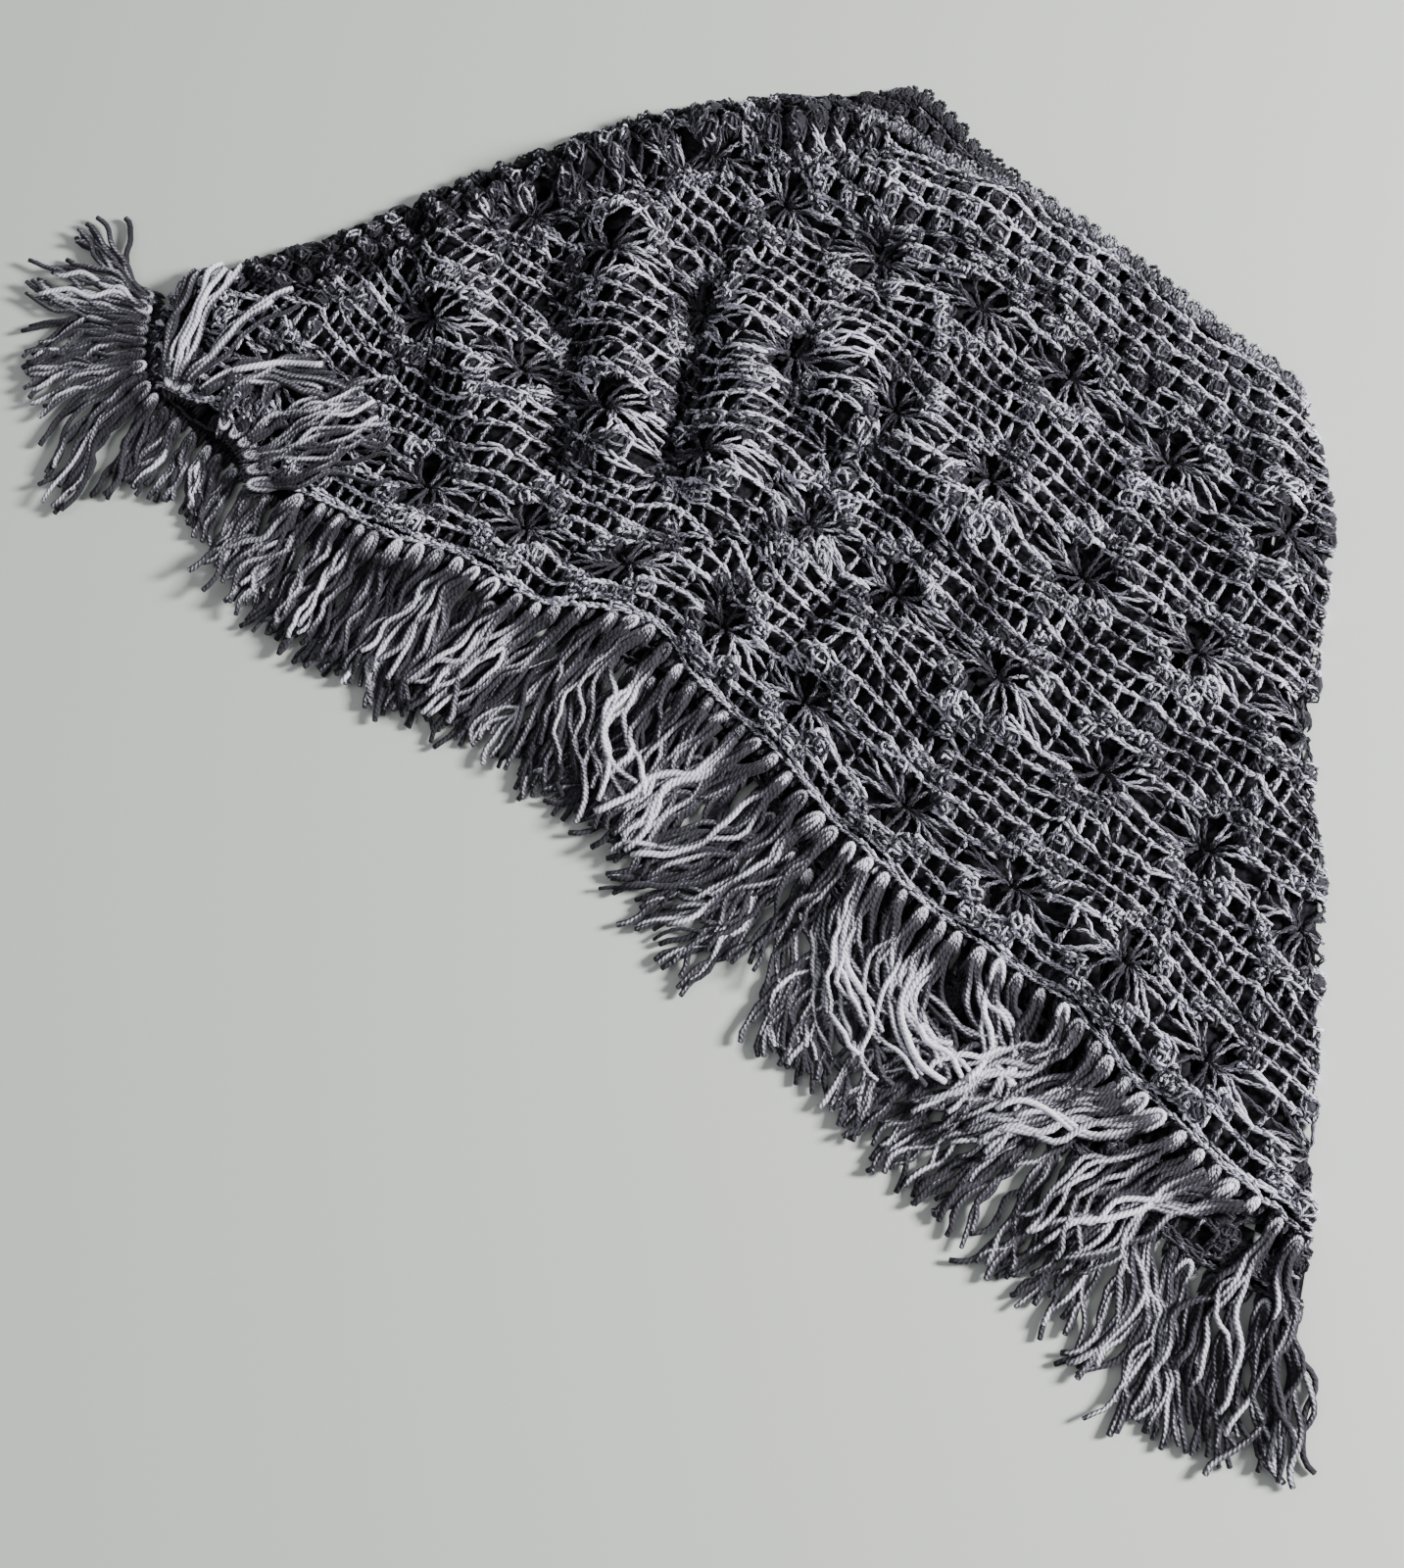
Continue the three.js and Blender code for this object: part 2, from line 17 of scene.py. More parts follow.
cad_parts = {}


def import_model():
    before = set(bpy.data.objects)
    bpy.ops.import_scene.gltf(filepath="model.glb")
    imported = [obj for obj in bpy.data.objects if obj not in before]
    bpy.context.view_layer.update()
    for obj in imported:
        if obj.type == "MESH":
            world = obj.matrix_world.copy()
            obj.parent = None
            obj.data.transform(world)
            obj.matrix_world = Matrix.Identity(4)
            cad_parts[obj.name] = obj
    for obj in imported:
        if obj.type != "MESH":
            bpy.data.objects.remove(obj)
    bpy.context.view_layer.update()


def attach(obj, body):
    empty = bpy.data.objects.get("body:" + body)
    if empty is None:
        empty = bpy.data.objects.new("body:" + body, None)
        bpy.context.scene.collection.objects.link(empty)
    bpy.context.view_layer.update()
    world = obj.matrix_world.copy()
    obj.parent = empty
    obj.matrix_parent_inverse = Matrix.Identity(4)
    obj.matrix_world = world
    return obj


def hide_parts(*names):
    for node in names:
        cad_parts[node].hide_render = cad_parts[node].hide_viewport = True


logging.basicConfig(level=logging.INFO, format="%(message)s")
LOG = logging.getLogger("poncho")

# Metres in a millimetre, and the way from the garment's own axes to the part's frame
MM = 0.001
SHIFT_X = 26.2196
SHIFT_Y = 56.9682

# The cut of each half, and the heights at which the middle of its cloth lies
NECK_TO_HEM = 290.0
FRONT_LEVEL = 5.2
BACK_LEVEL = 1.7

# How far the lowest yarn stands clear of the floor, in metres, and the length of yarn that one
# step of its UV map covers
FLOOR_CLEAR = 0.0002
TWIST_LENGTH = 6.0

# The pattern: size of a mesh, meshes in a repeat, place of one star, and the first plain row
MESH_U = 7.75
MESH_V = 8.375
REPEAT = 8
STAR_U = 24.0
STAR_V = 28.0
STAR_LATTICE_ROW = 3
YOKE_ROW = 31

Pairs = tuple[tuple[float, float], ...]
Colour = tuple[float, float, float]

# Edges as they lie: hems and necks by place along the rows, folds by height above the hem

FRONT_HEM: Pairs = (
    (-364, -166), (-330, -170), (-290, -161), (-250, -175), (-214, -167), (-182, -163),
    (-157, -151), (-102, -146), (-80, -131), (-60, -122), (-43, -124), (-28, -133), (30, -138),
    (66, -148), (125, -154), (198, -151), (225, -159), (284, -168), (331, -171),
)
BACK_HEM: Pairs = (
    (-364, -170), (-330, -174), (-250, -179), (-182, -167), (-100, -152), (-40, -140),
    (20, -150), (80, -172), (150, -187), (225, -198), (300, -206), (346, -196),
)
FRONT_NECK: Pairs = (
    (-364, 150), (-200, 149), (-152, 144), (-131, 136), (-100, 135), (-82, 136), (-66, 139),
    (-50, 144), (0, 143), (60, 136), (114, 134), (346, 130),
)
BACK_NECK: Pairs = (
    (-364, 154), (-150, 151), (-137, 153), (-119, 160), (-100, 155), (-80, 150), (-58, 146),
    (-40, 145), (0, 142), (60, 135), (114, 133), (346, 129),
)
LEFT_FOLD: Pairs = (
    (0, -330), (19, -354), (37, -360), (65, -340), (108, -304), (149, -280), (191, -254),
    (221, -230), (250, -198), (272, -173), (290, -142),
)
FRONT_RIGHT_FOLD: Pairs = (
    (0, 331), (28, 309), (60, 290), (90, 268), (125, 243), (155, 211), (190, 191), (215, 178),
    (240, 164), (268, 141), (290, 114),
)
BACK_RIGHT_FOLD: Pairs = (
    (0, 346), (30, 331), (54, 309), (85, 290), (112, 268), (144, 243), (172, 210), (204, 190),
    (225, 178), (246, 164), (271, 141), (290, 114),
)
# Columns of the flat pattern, and where they come to lie along the rows
COLUMNS: Pairs = (
    (-450, -369), (-286, -236), (-224, -187), (-162, -135), (-100, -86), (-38, -29), (24, 24),
    (148, 148), (210, 204), (272, 255), (360, 340),
)


class Slot(Enum):
    """Names of material slots for the lace, neck edging and fringe yarn."""

    LACE = "crochet_yarn"
    EDGING = "edging_yarn"
    FRINGE = "fringe_yarn"


class Detail(Enum):
    """How finely stitches are laid: fine where they show, plain where they lie underneath."""

    FINE = "fine"
    PLAIN = "plain"


@dataclass(frozen=True)
class SoftLine:
    """An edge of the garment as it lies, eased between its measured places.

    Attributes:
        points: place and value pairs, in rising order of place.
        ease: how far each place is evened out with its neighbours.
    """

    points: Pairs
    ease: float = 8.0

    def at(self, place: np.ndarray) -> np.ndarray:
        """Reads the line.

        Args:
            place: places along it.

        Returns:
            The eased values at these places.
        """
        xs = np.array([p[0] for p in self.points], float)
        ys = np.array([p[1] for p in self.points], float)
        reach = 60.0
        first = ys[0] - (ys[1] - ys[0]) / (xs[1] - xs[0]) * reach
        last = ys[-1] + (ys[-1] - ys[-2]) / (xs[-1] - xs[-2]) * reach
        xs = np.concatenate(([xs[0] - reach], xs, [xs[-1] + reach]))
        ys = np.concatenate(([first], ys, [last]))
        place = np.asarray(place, float)
        total = np.zeros_like(place)
        for step in (-1.0, -0.4, 0.0, 0.4, 1.0):
            total += 0.2 * np.interp(place + step * self.ease, xs, ys)
        return total


def smooth(share: np.ndarray) -> np.ndarray:
    """Eases a share from 0 to 1, with no jerk at either end.

    Args:
        share: the shares, which are first held between 0 and 1.

    Returns:
        The eased shares.
    """
    held = np.clip(share, 0.0, 1.0)
    return held * held * (3.0 - 2.0 * held)


def framed(points: np.ndarray) -> np.ndarray:
    """Takes points of the garment to the part's frame.

    Args:
        points: points in millimetres, on the garment's own axes.

    Returns:
        The points in metres.
    """
    return (points + np.array([SHIFT_X, SHIFT_Y, 0.0])) * MM


@dataclass(frozen=True)
class Fold:
    """One soft ridge or trough of the front half, along a straight line.

    Attributes:
        x0: place along the rows of the line's first end.
        y0: place from hem to neck of its first end.
        x1: place along the rows of its last end.
        y1: place from hem to neck of its last end.
        half: half its width.
        rise: its height, negative in a trough.
    """

    x0: float
    y0: float
    x1: float
    y1: float
    half: float
    rise: float

    def lift(self, x: np.ndarray, y: np.ndarray) -> np.ndarray:
        """Gives the fold's height.

        Args:
            x: places along the rows.
            y: places from hem to neck.

        Returns:
            The height that the fold adds at each place.
        """
        dx, dy = self.x1 - self.x0, self.y1 - self.y0
        share = np.clip(((x - self.x0) * dx + (y - self.y0) * dy) / (dx * dx + dy * dy), 0, 1)
        off_x = x - self.x0 - share * dx
        off_y = y - self.y0 - share * dy
        return self.rise * np.exp(-(off_x**2 + off_y**2) / self.half**2)


FOLDS: tuple[Fold, ...] = (
    Fold(-272, -12, -236, 46, 13, 11),
    Fold(-236, 46, -196, 94, 13, 12),
    Fold(-196, 94, -150, 132, 12, 10),
    Fold(-247, -12, -190, 66, 9, -13),
    Fold(-190, 66, -120, 120, 9, -11),
    Fold(-250, -35, -171, -95, 16, 12),
    Fold(-206, -10, -140, -88, 8, -14),
    Fold(-190, 22, -122, -66, 13, 14),
    Fold(-148, 36, -101, -62, 8, -13),
    Fold(-112, 30, -72, -48, 14, 13),
    Fold(-43, -8, -22, -38, 8, -11),
    Fold(-22, -38, -72, -84, 7, -11),
    Fold(-37, -98, -40, -126, 9, -10),
    Fold(-66, 36, -46, 6, 12, 9),
    Fold(-92, 92, -74, 66, 8, -8),
    Fold(-121, 100, -48, 128, 14, 9),
    Fold(-10, 14, 36, 0, 14, 10),
    Fold(-4, -60, 6, -92, 8, -8),
    Fold(24, -86, 78, -66, 16, 9),
    Fold(104, -52, 150, -12, 19, 8),
    Fold(56, 75, 84, 76, 13, -4),
    Fold(200, -68, 212, -92, 10, -8),
    Fold(180, -120, 238, -140, 14, 8),
    Fold(120, 112, 196, 10, 11, 6),
    Fold(196, 10, 296, -120, 11, 6),
)
# Small waves of the front: turn along X, turn along Y, phase and height
RIPPLES: tuple[tuple[float, float, float, float], ...] = (
    (0.113, 0.061, 0.4, 0.9), (-0.047, 0.135, 2.1, 0.8), (0.171, -0.094, 4.0, 0.6),
    (0.031, 0.211, 1.2, 0.5),
)


@dataclass(frozen=True)
class Half:
    """One half of the poncho as it lies, which carries every stitch on it.

    Attributes:
        hem: the hem's height at each place along the rows.
        neck: the neck edge's height at each place along the rows.
        right: how far the rows reach right at each height above the hem.
        level: height of the middle of the cloth where it lies flat.
        folds: the folds that lift it.
        loose: how far it stands off what it lies on, away from its edges.
        edge_span: width over which it rises from its folded edges.
        turn: radius of its folded edges, or 0 where it has none.
        ripple: strength of its small unevenness.
        slump: how far the sides of its folds sag for a slope of one.
        left: the left fold at each height above the hem.
        columns: where the columns of the flat pattern lie.
    """

    hem: SoftLine
    neck: SoftLine
    right: SoftLine
    level: float
    folds: tuple[Fold, ...] = ()
    loose: float = 0.0
    edge_span: float = 20.0
    turn: float = 0.0
    ripple: float = 0.0
    slump: float = 3.0
    left: SoftLine = SoftLine(LEFT_FOLD)
    columns: SoftLine = SoftLine(COLUMNS, 14.0)

    def column_at(self, x: np.ndarray) -> np.ndarray:
        """Finds the columns of the flat pattern that lie at given places.

        Args:
            x: places along the rows as they lie.

        Returns:
            Their places along the rows of the flat pattern.
        """
        table = np.linspace(-470.0, 380.0, 1701)
        return np.interp(x, self.columns.at(table), table)

    def outside(self, x: np.ndarray, v: np.ndarray) -> tuple[np.ndarray, np.ndarray]:
        """Tells how far places lie past the nearer side fold.

        Args:
            x: places along the rows.
            v: heights above the hem.

        Returns:
            The distance past the fold, negative inside, and the side, -1 left or 1 right.
        """
        past_right = x - self.right.at(v)
        past_left = self.left.at(v) - x
        side = np.where(past_right > past_left, 1.0, -1.0)
        return np.maximum(past_right, past_left), side

    def y_at(self, x: np.ndarray, v: np.ndarray) -> np.ndarray:
        """Gives places from hem to neck.

        Args:
            x: places along the rows.
            v: heights above the hem.

        Returns:
            The Y of each place.
        """
        hem = self.hem.at(x)
        return hem + (self.neck.at(x) - hem) * v / NECK_TO_HEM

    def lift_at(self, x: np.ndarray, y: np.ndarray, v: np.ndarray) -> np.ndarray:
        """Gives how far the cloth stands above its flat level.

        Args:
            x: places along the rows.
            y: places from hem to neck.
            v: heights above the hem.

        Returns:
            The lift at each place.
        """
        past, _ = self.outside(x, v)
        inside = -past - 0.5 * math.pi * self.turn
        total = np.full_like(x, self.loose)
        for fold in self.folds:
            total = total + fold.lift(x, y)
        for across, along, phase, rise in RIPPLES:
            total = total + self.ripple * rise * np.sin(across * x + along * y + phase)
        return np.maximum(0.0, smooth(inside / self.edge_span) * total)

    def slump_at(
        self, x: np.ndarray, y: np.ndarray, v: np.ndarray
    ) -> tuple[np.ndarray, np.ndarray]:
        """Gives how far the cloth sags sideways off its folds, which narrows the troughs.

        Args:
            x: places along the rows.
            y: places from hem to neck.
            v: heights above the hem.

        Returns:
            The shift along X and the shift along Y at each place.
        """
        if not self.folds:
            return np.zeros_like(x), np.zeros_like(y)
        here = self.lift_at(x, y, v)
        slope_x = self.lift_at(x + 1.0, y, v) - here
        slope_y = self.lift_at(x, y + 1.0, v) - here
        past, _ = self.outside(x, v)
        free = smooth((-past - 22.0) / 14.0) * smooth(v / 18.0)
        free = free * smooth((NECK_TO_HEM + 4.0 - v) / 18.0)
        return -self.slump * free * slope_x, -self.slump * free * slope_y

    def sheet_at(self, u: np.ndarray, v: np.ndarray) -> np.ndarray:
        """Lays places of the flat pattern on the draped cloth.

        Args:
            u: places along the rows of the flat pattern.
            v: heights above the hem of the flat pattern.

        Returns:
            Points in the middle of the cloth, one row of three each.
        """
        x = self.columns.at(u)
        past, side = self.outside(x, v)
        half_arc = 0.5 * math.pi * self.turn
        spare = (half_arc - self.turn) * np.clip((past + half_arc + 12.0) / 12.0, 0, 1)
        fold_x = x - side * past
        on_top = np.where(past < -half_arc, fold_x + side * (past + spare), fold_x)
        held = np.clip(on_top, np.minimum(on_top, fold_x), np.maximum(on_top, fold_x))
        y = self.y_at(held, v)
        z = self.level + self.lift_at(held, y, v)
        sag_x, sag_y = self.slump_at(held, y, v)
        held, y = held + sag_x, y + sag_y
        if self.turn > 0:
            angle = np.clip((past + half_arc) / self.turn, 0.0, None)
            round_angle = np.minimum(angle, math.pi)
            under = (angle - round_angle) * self.turn
            out = -self.turn + self.turn * np.sin(round_angle) - under
            turning = past >= -half_arc
            held = np.where(turning, fold_x + side * out, held)
            z = np.where(turning, self.level - self.turn * (1.0 - np.cos(round_angle)), z)
        return np.stack([held, y, z], axis=-1)

    def lay(self, u: np.ndarray, v: np.ndarray, w: np.ndarray) -> tuple[np.ndarray, np.ndarray]:
        """Lays points of the flat pattern on the draped cloth, raised off its middle.

        Args:
            u: places along the rows of the flat pattern.
            v: heights above the hem of the flat pattern.
            w: heights above the middle of the cloth.

        Returns:
            The points and the cloth's outward direction at each.
        """
        step = 0.8
        at = self.sheet_at(u, v)
        along = self.sheet_at(u + step, v) - self.sheet_at(u - step, v)
        up = self.sheet_at(u, v + step) - self.sheet_at(u, v - step)
        out = np.cross(along, up)
        out /= np.maximum(np.linalg.norm(out, axis=-1, keepdims=True), 1e-9)
        return at + out * w[..., None], out

    def hollow_at(self, u: np.ndarray, v: np.ndarray) -> np.ndarray:
        """Gives how far the cloth stands above or below the cloth around it.

        Args:
            u: places along the rows of the flat pattern.
            v: heights above the hem of the flat pattern.

        Returns:
            The height above the mean of the cloth around, negative in troughs.
        """
        if not self.folds:
            return np.zeros_like(u)
        x = self.columns.at(u)
        y = self.y_at(x, v)
        around = np.zeros_like(x)
        reach = 13.0
        for turn in range(6):
            angle = turn * math.pi / 3
            far_x, far_y = reach * math.cos(angle), reach * math.sin(angle)
            around += self.lift_at(x + far_x, y + far_y, v) / 6.0
        return self.lift_at(x, y, v) - around

    def keeps(self, u: np.ndarray, v: np.ndarray) -> np.ndarray:
        """Tells which places of the flat pattern belong to this half.

        Args:
            u: places along the rows of the flat pattern.
            v: heights above the hem of the flat pattern.

        Returns:
            True for each place on the half, its rounded edges included.
        """
        past, _ = self.outside(self.columns.at(u), v)
        return past < (0.5 * math.pi * self.turn if self.turn > 0 else -2.0)


FRONT = Half(
    SoftLine(FRONT_HEM), SoftLine(FRONT_NECK), SoftLine(FRONT_RIGHT_FOLD), FRONT_LEVEL,
    FOLDS, loose=4.0, edge_span=24.0, turn=2.3, ripple=1.0,
)
BACK = Half(SoftLine(BACK_HEM), SoftLine(BACK_NECK), SoftLine(BACK_RIGHT_FOLD), BACK_LEVEL)


class YarnLength:
    """A short length of yarn, modelled once as a closed tube and then laid along many ways."""

    def __init__(self, stations: int, sides: int) -> None:
        """Models the tube and keeps its form.

        Args:
            stations: places along the yarn, its two ends included, at least 4.
            sides: sides round it.
        """
        self.stations = stations
        tube = self._tube(stations - 3, sides)
        mesh = tube.data
        self._read(mesh)
        bpy.data.objects.remove(tube)
        bpy.data.meshes.remove(mesh)

    @staticmethod
    def _tube(rings: int, sides: int) -> bpy.types.Object:
        """Models a closed tube of radius 1 along Z, from -0.5 to 0.5, in edit mode.

        Args:
            rings: stretches between its rings.
            sides: sides round it.

        Returns:
            The tube.
        """
        bpy.ops.object.select_all(action="DESELECT")
        bpy.ops.mesh.primitive_cylinder_add(
            vertices=sides, radius=1.0, depth=1.0, end_fill_type="TRIFAN"
        )
        tube = bpy.context.active_object
        bpy.ops.object.mode_set(mode="EDIT")
        for cut in range(1, rings):
            bpy.ops.mesh.select_all(action="SELECT")
            height = -0.5 + cut / rings
            bpy.ops.mesh.bisect(plane_co=(0, 0, height), plane_no=(0, 0, 1))
        bpy.ops.mesh.select_all(action="SELECT")
        bpy.ops.mesh.normals_make_consistent(inside=False)
        bpy.ops.object.mode_set(mode="OBJECT")
        return tube

    def _read(self, mesh: bpy.types.Mesh) -> None:
        """Keeps the tube's form: each corner's station and place round it, and the faces.

        Args:
            mesh: the tube.
        """
        stations = self.stations
        co = np.array([v.co for v in mesh.vertices])
        spread = np.hypot(co[:, 0], co[:, 1])
        pole = spread < 0.5
        ring = 1 + np.rint((co[:, 2] + 0.5) * (stations - 3)).astype(int)
        self.station = np.where(pole, np.where(co[:, 2] < 0, 0, stations - 1), ring)
        self.spoke = np.where(pole, 0.0, 1.0)
        angle = np.arctan2(co[:, 1], co[:, 0])
        self.cos, self.sin = np.cos(angle), np.sin(angle)
        turn = (angle / (2 * math.pi)) % 1.0
        corners: list[int] = []
        turns: list[float] = []
        self.sizes = np.array([p.loop_total for p in mesh.polygons])
        for face in mesh.polygons:
            ids = list(face.vertices)
            values = [turn[i] for i in ids if not pole[i]]
            wraps = max(values) - min(values) > 0.5
            values = [t + 1.0 if wraps and t < 0.5 else t for t in values]
            middle = sum(values) / len(values)
            rest = iter(values)
            corners.extend(ids)
            turns.extend(middle if pole[i] else next(rest) for i in ids)
        self.corners = np.array(corners)
        self.turns = np.array(turns)
        self.triangles = int((self.sizes - 2).sum())


class YarnWork:
    """Many lengths of yarn joined into one mesh."""

    def __init__(self, name: str, seed: int) -> None:
        """Starts an empty piece.

        Args:
            name: the piece's name.
            seed: seeds the small differences between stitches.
        """
        self.name = name
        self.chance = np.random.default_rng(seed)
        self.points: list[np.ndarray] = []
        self.corners: list[np.ndarray] = []
        self.sizes: list[np.ndarray] = []
        self.uvs: list[np.ndarray] = []
        self.tones: list[np.ndarray] = []
        self.lit_shares: list[np.ndarray] = []
        self.count = 0
        self.triangles = 0

    def add(
        self,
        unit: YarnLength,
        ways: np.ndarray,
        out: np.ndarray,
        radii: np.ndarray,
        tone: float | np.ndarray = 0.5,
        flatten: float = 1.0,
        heights: float | np.ndarray = 0.8,
        span: tuple[float, float] = (-0.9, 1.9),
    ) -> None:
        """Lays copies of a length of yarn along ways.

        Args:
            unit: the length of yarn that is copied.
            ways: points on each way, an array of copies by stations by 3.
            out: the cloth's outward direction at each of them, in the same form.
            radii: the yarn's radius at each station, for all copies or for each.
            tone: how light each copy's yarn is, from 0 to 1.
            flatten: thickness across the cloth as a share of the width.
            heights: how far the yarn's middle stands above the cloth at each station.
            span: the heights between which the painted highlight on the yarn's top begins and is
                full; yarn lower down gets painted shade.
        """
        copies = len(ways)
        if copies == 0:
            return
        along = np.gradient(ways, axis=1)
        along /= np.maximum(np.linalg.norm(along, axis=-1, keepdims=True), 1e-9)
        side = np.cross(out, along)
        side /= np.maximum(np.linalg.norm(side, axis=-1, keepdims=True), 1e-9)
        top = np.cross(along, side)
        radii = np.broadcast_to(np.asarray(radii, float), (copies, unit.stations))
        spoke = radii[:, unit.station] * unit.spoke
        points = (
            ways[:, unit.station]
            + (spoke * unit.cos)[..., None] * side[:, unit.station]
            + (spoke * unit.sin * flatten)[..., None] * top[:, unit.station]
        )
        number = len(unit.station)
        offsets = self.count + number * np.arange(copies)
        length = np.linalg.norm(np.diff(ways, axis=1), axis=-1).sum(axis=1)
        share = unit.station / (unit.stations - 1)
        turns = (length / TWIST_LENGTH)[:, None] * share[unit.corners]
        u = turns + self.chance.random((copies, 1))
        v = np.broadcast_to(unit.turns, (copies, len(unit.turns)))
        spread = np.broadcast_to(np.asarray(tone, float).reshape(-1, 1), (copies, 1))
        tones = spread + 0.2 * self.chance.standard_normal((copies, 1))
        # Painted light and shade: each corner of the yarn is painted lighter the higher it
        # stands, a painted highlight on top and painted shade below.
        level = np.broadcast_to(np.asarray(heights, float), (copies, unit.stations))
        top_height = level[:, unit.station] + spoke * unit.sin * flatten
        lit_share = np.clip((top_height - span[0]) / (span[1] - span[0]), 0.0, 1.0)
        self.lit_shares.append(lit_share.ravel())
        self.points.append(points.reshape(-1, 3))
        self.corners.append((offsets[:, None] + unit.corners).ravel())
        self.sizes.append(np.tile(unit.sizes, copies))
        self.uvs.append(np.stack([u, v], axis=-1).reshape(-1, 2))
        self.tones.append(np.repeat(np.clip(tones, 0, 1), number, axis=1).ravel())
        self.count += number * copies
        self.triangles += unit.triangles * copies

    def make(self) -> bpy.types.Object:
        """Joins the lengths of yarn into one object, in metres and in the part's frame.

        Returns:
            The finished object.
        """
        points = framed(np.concatenate(self.points))
        points[:, 2] = np.maximum(points[:, 2], FLOOR_CLEAR)
        corners = np.concatenate(self.corners)
        sizes = np.concatenate(self.sizes)
        mesh = bpy.data.meshes.new(self.name)
        mesh.vertices.add(len(points))
        mesh.vertices.foreach_set("co", points.astype(np.float32).ravel())
        mesh.loops.add(len(corners))
        mesh.loops.foreach_set("vertex_index", corners.astype(np.int32))
        mesh.polygons.add(len(sizes))
        starts = np.concatenate(([0], np.cumsum(sizes)[:-1])).astype(np.int32)
        mesh.polygons.foreach_set("loop_start", starts)
        mesh.update(calc_edges=True)
        mesh.polygons.foreach_set("use_smooth", np.ones(len(sizes), bool))
        layer = mesh.uv_layers.new(name="yarn")
        layer.data.foreach_set("uv", np.concatenate(self.uvs).astype(np.float32).ravel())
        tone = mesh.attributes.new("tone", "FLOAT", "POINT")
        tone.data.foreach_set("value", np.concatenate(self.tones).astype(np.float32))
        lit_share = mesh.attributes.new("lit_share", "FLOAT", "POINT")
        lit_share.data.foreach_set("value", np.concatenate(self.lit_shares).astype(np.float32))
        mesh.update()
        made = bpy.data.objects.new(self.name, mesh)
        bpy.context.scene.collection.objects.link(made)
        LOG.info("%s: %d triangles", self.name, self.triangles)
        return made


def noise(made: bpy.types.Material, scale: float, detail: float) -> bpy.types.NodeSocket:
    """Adds noise on Object coordinates to a material.

    Args:
        made: the material.
        scale: the noise's scale.
        detail: its finer layers.

    Returns:
        The noise's value.
    """
    nodes, links = made.node_tree.nodes, made.node_tree.links
    place = nodes.new("ShaderNodeTexCoord")
    grain = nodes.new("ShaderNodeTexNoise")
    grain.inputs["Scale"].default_value = scale
    grain.inputs["Detail"].default_value = detail
    links.new(place.outputs["Object"], grain.inputs["Vector"])
    return grain.outputs["Fac"]


def maths(
    made: bpy.types.Material,
    operation: str,
    first: bpy.types.NodeSocket,
    second: float | bpy.types.NodeSocket = 0.0,
    third: float | bpy.types.NodeSocket = 0.0,
) -> bpy.types.NodeSocket:
    """Adds one maths node to a material.

    Args:
        made: the material.
        operation: the node's operation.
        first: the first value.
        second: the second value, a number or another node's.
        third: the third value, a number or another node's.

    Returns:
        The result.
    """
    node = made.node_tree.nodes.new("ShaderNodeMath")
    node.operation = operation
    for value, entry in zip((first, second, third), node.inputs):
        if isinstance(value, bpy.types.NodeSocket):
            made.node_tree.links.new(value, entry)
        else:
            entry.default_value = value
    return node.outputs[0]


def attribute(made: bpy.types.Material, name: str) -> bpy.types.NodeSocket:
    """Reads one of a mesh's own values in a material.

    Args:
        made: the material.
        name: the value's name.

    Returns:
        The value.
    """
    node = made.node_tree.nodes.new("ShaderNodeAttribute")
    node.attribute_name = name
    return node.outputs["Fac"]


def colour_by(
    made: bpy.types.Material,
    value: bpy.types.NodeSocket,
    stops: tuple[tuple[float, Colour], ...],
) -> None:
    """Colours a material by a value, through a ramp.

    Args:
        made: the material.
        value: the value that chooses the colour.
        stops: value and colour pairs, in rising order.
    """
    nodes, links = made.node_tree.nodes, made.node_tree.links
    ramp = nodes.new("ShaderNodeValToRGB")
    elements = ramp.color_ramp.elements
    for element, (place, colour) in zip(elements, (stops[0], stops[-1])):
        element.position = place
        element.color = (*colour, 1.0)
    for place, colour in stops[1:-1]:
        elements.new(place).color = (*colour, 1.0)
    links.new(value, ramp.inputs["Fac"])
    links.new(ramp.outputs["Color"], nodes["Principled BSDF"].inputs["Base Color"])


def bump_by(
    made: bpy.types.Material, value: bpy.types.NodeSocket, strength: float, distance: float
) -> None:
    """Raises a material's surface by a value.

    Args:
        made: the material.
        value: the height.
        strength: strength of the relief.
        distance: its depth in metres.
    """
    nodes, links = made.node_tree.nodes, made.node_tree.links
    bump = nodes.new("ShaderNodeBump")
    bump.inputs["Strength"].default_value = strength
    bump.inputs["Distance"].default_value = distance
    links.new(value, bump.inputs["Height"])
    links.new(bump.outputs["Normal"], nodes["Principled BSDF"].inputs["Normal"])


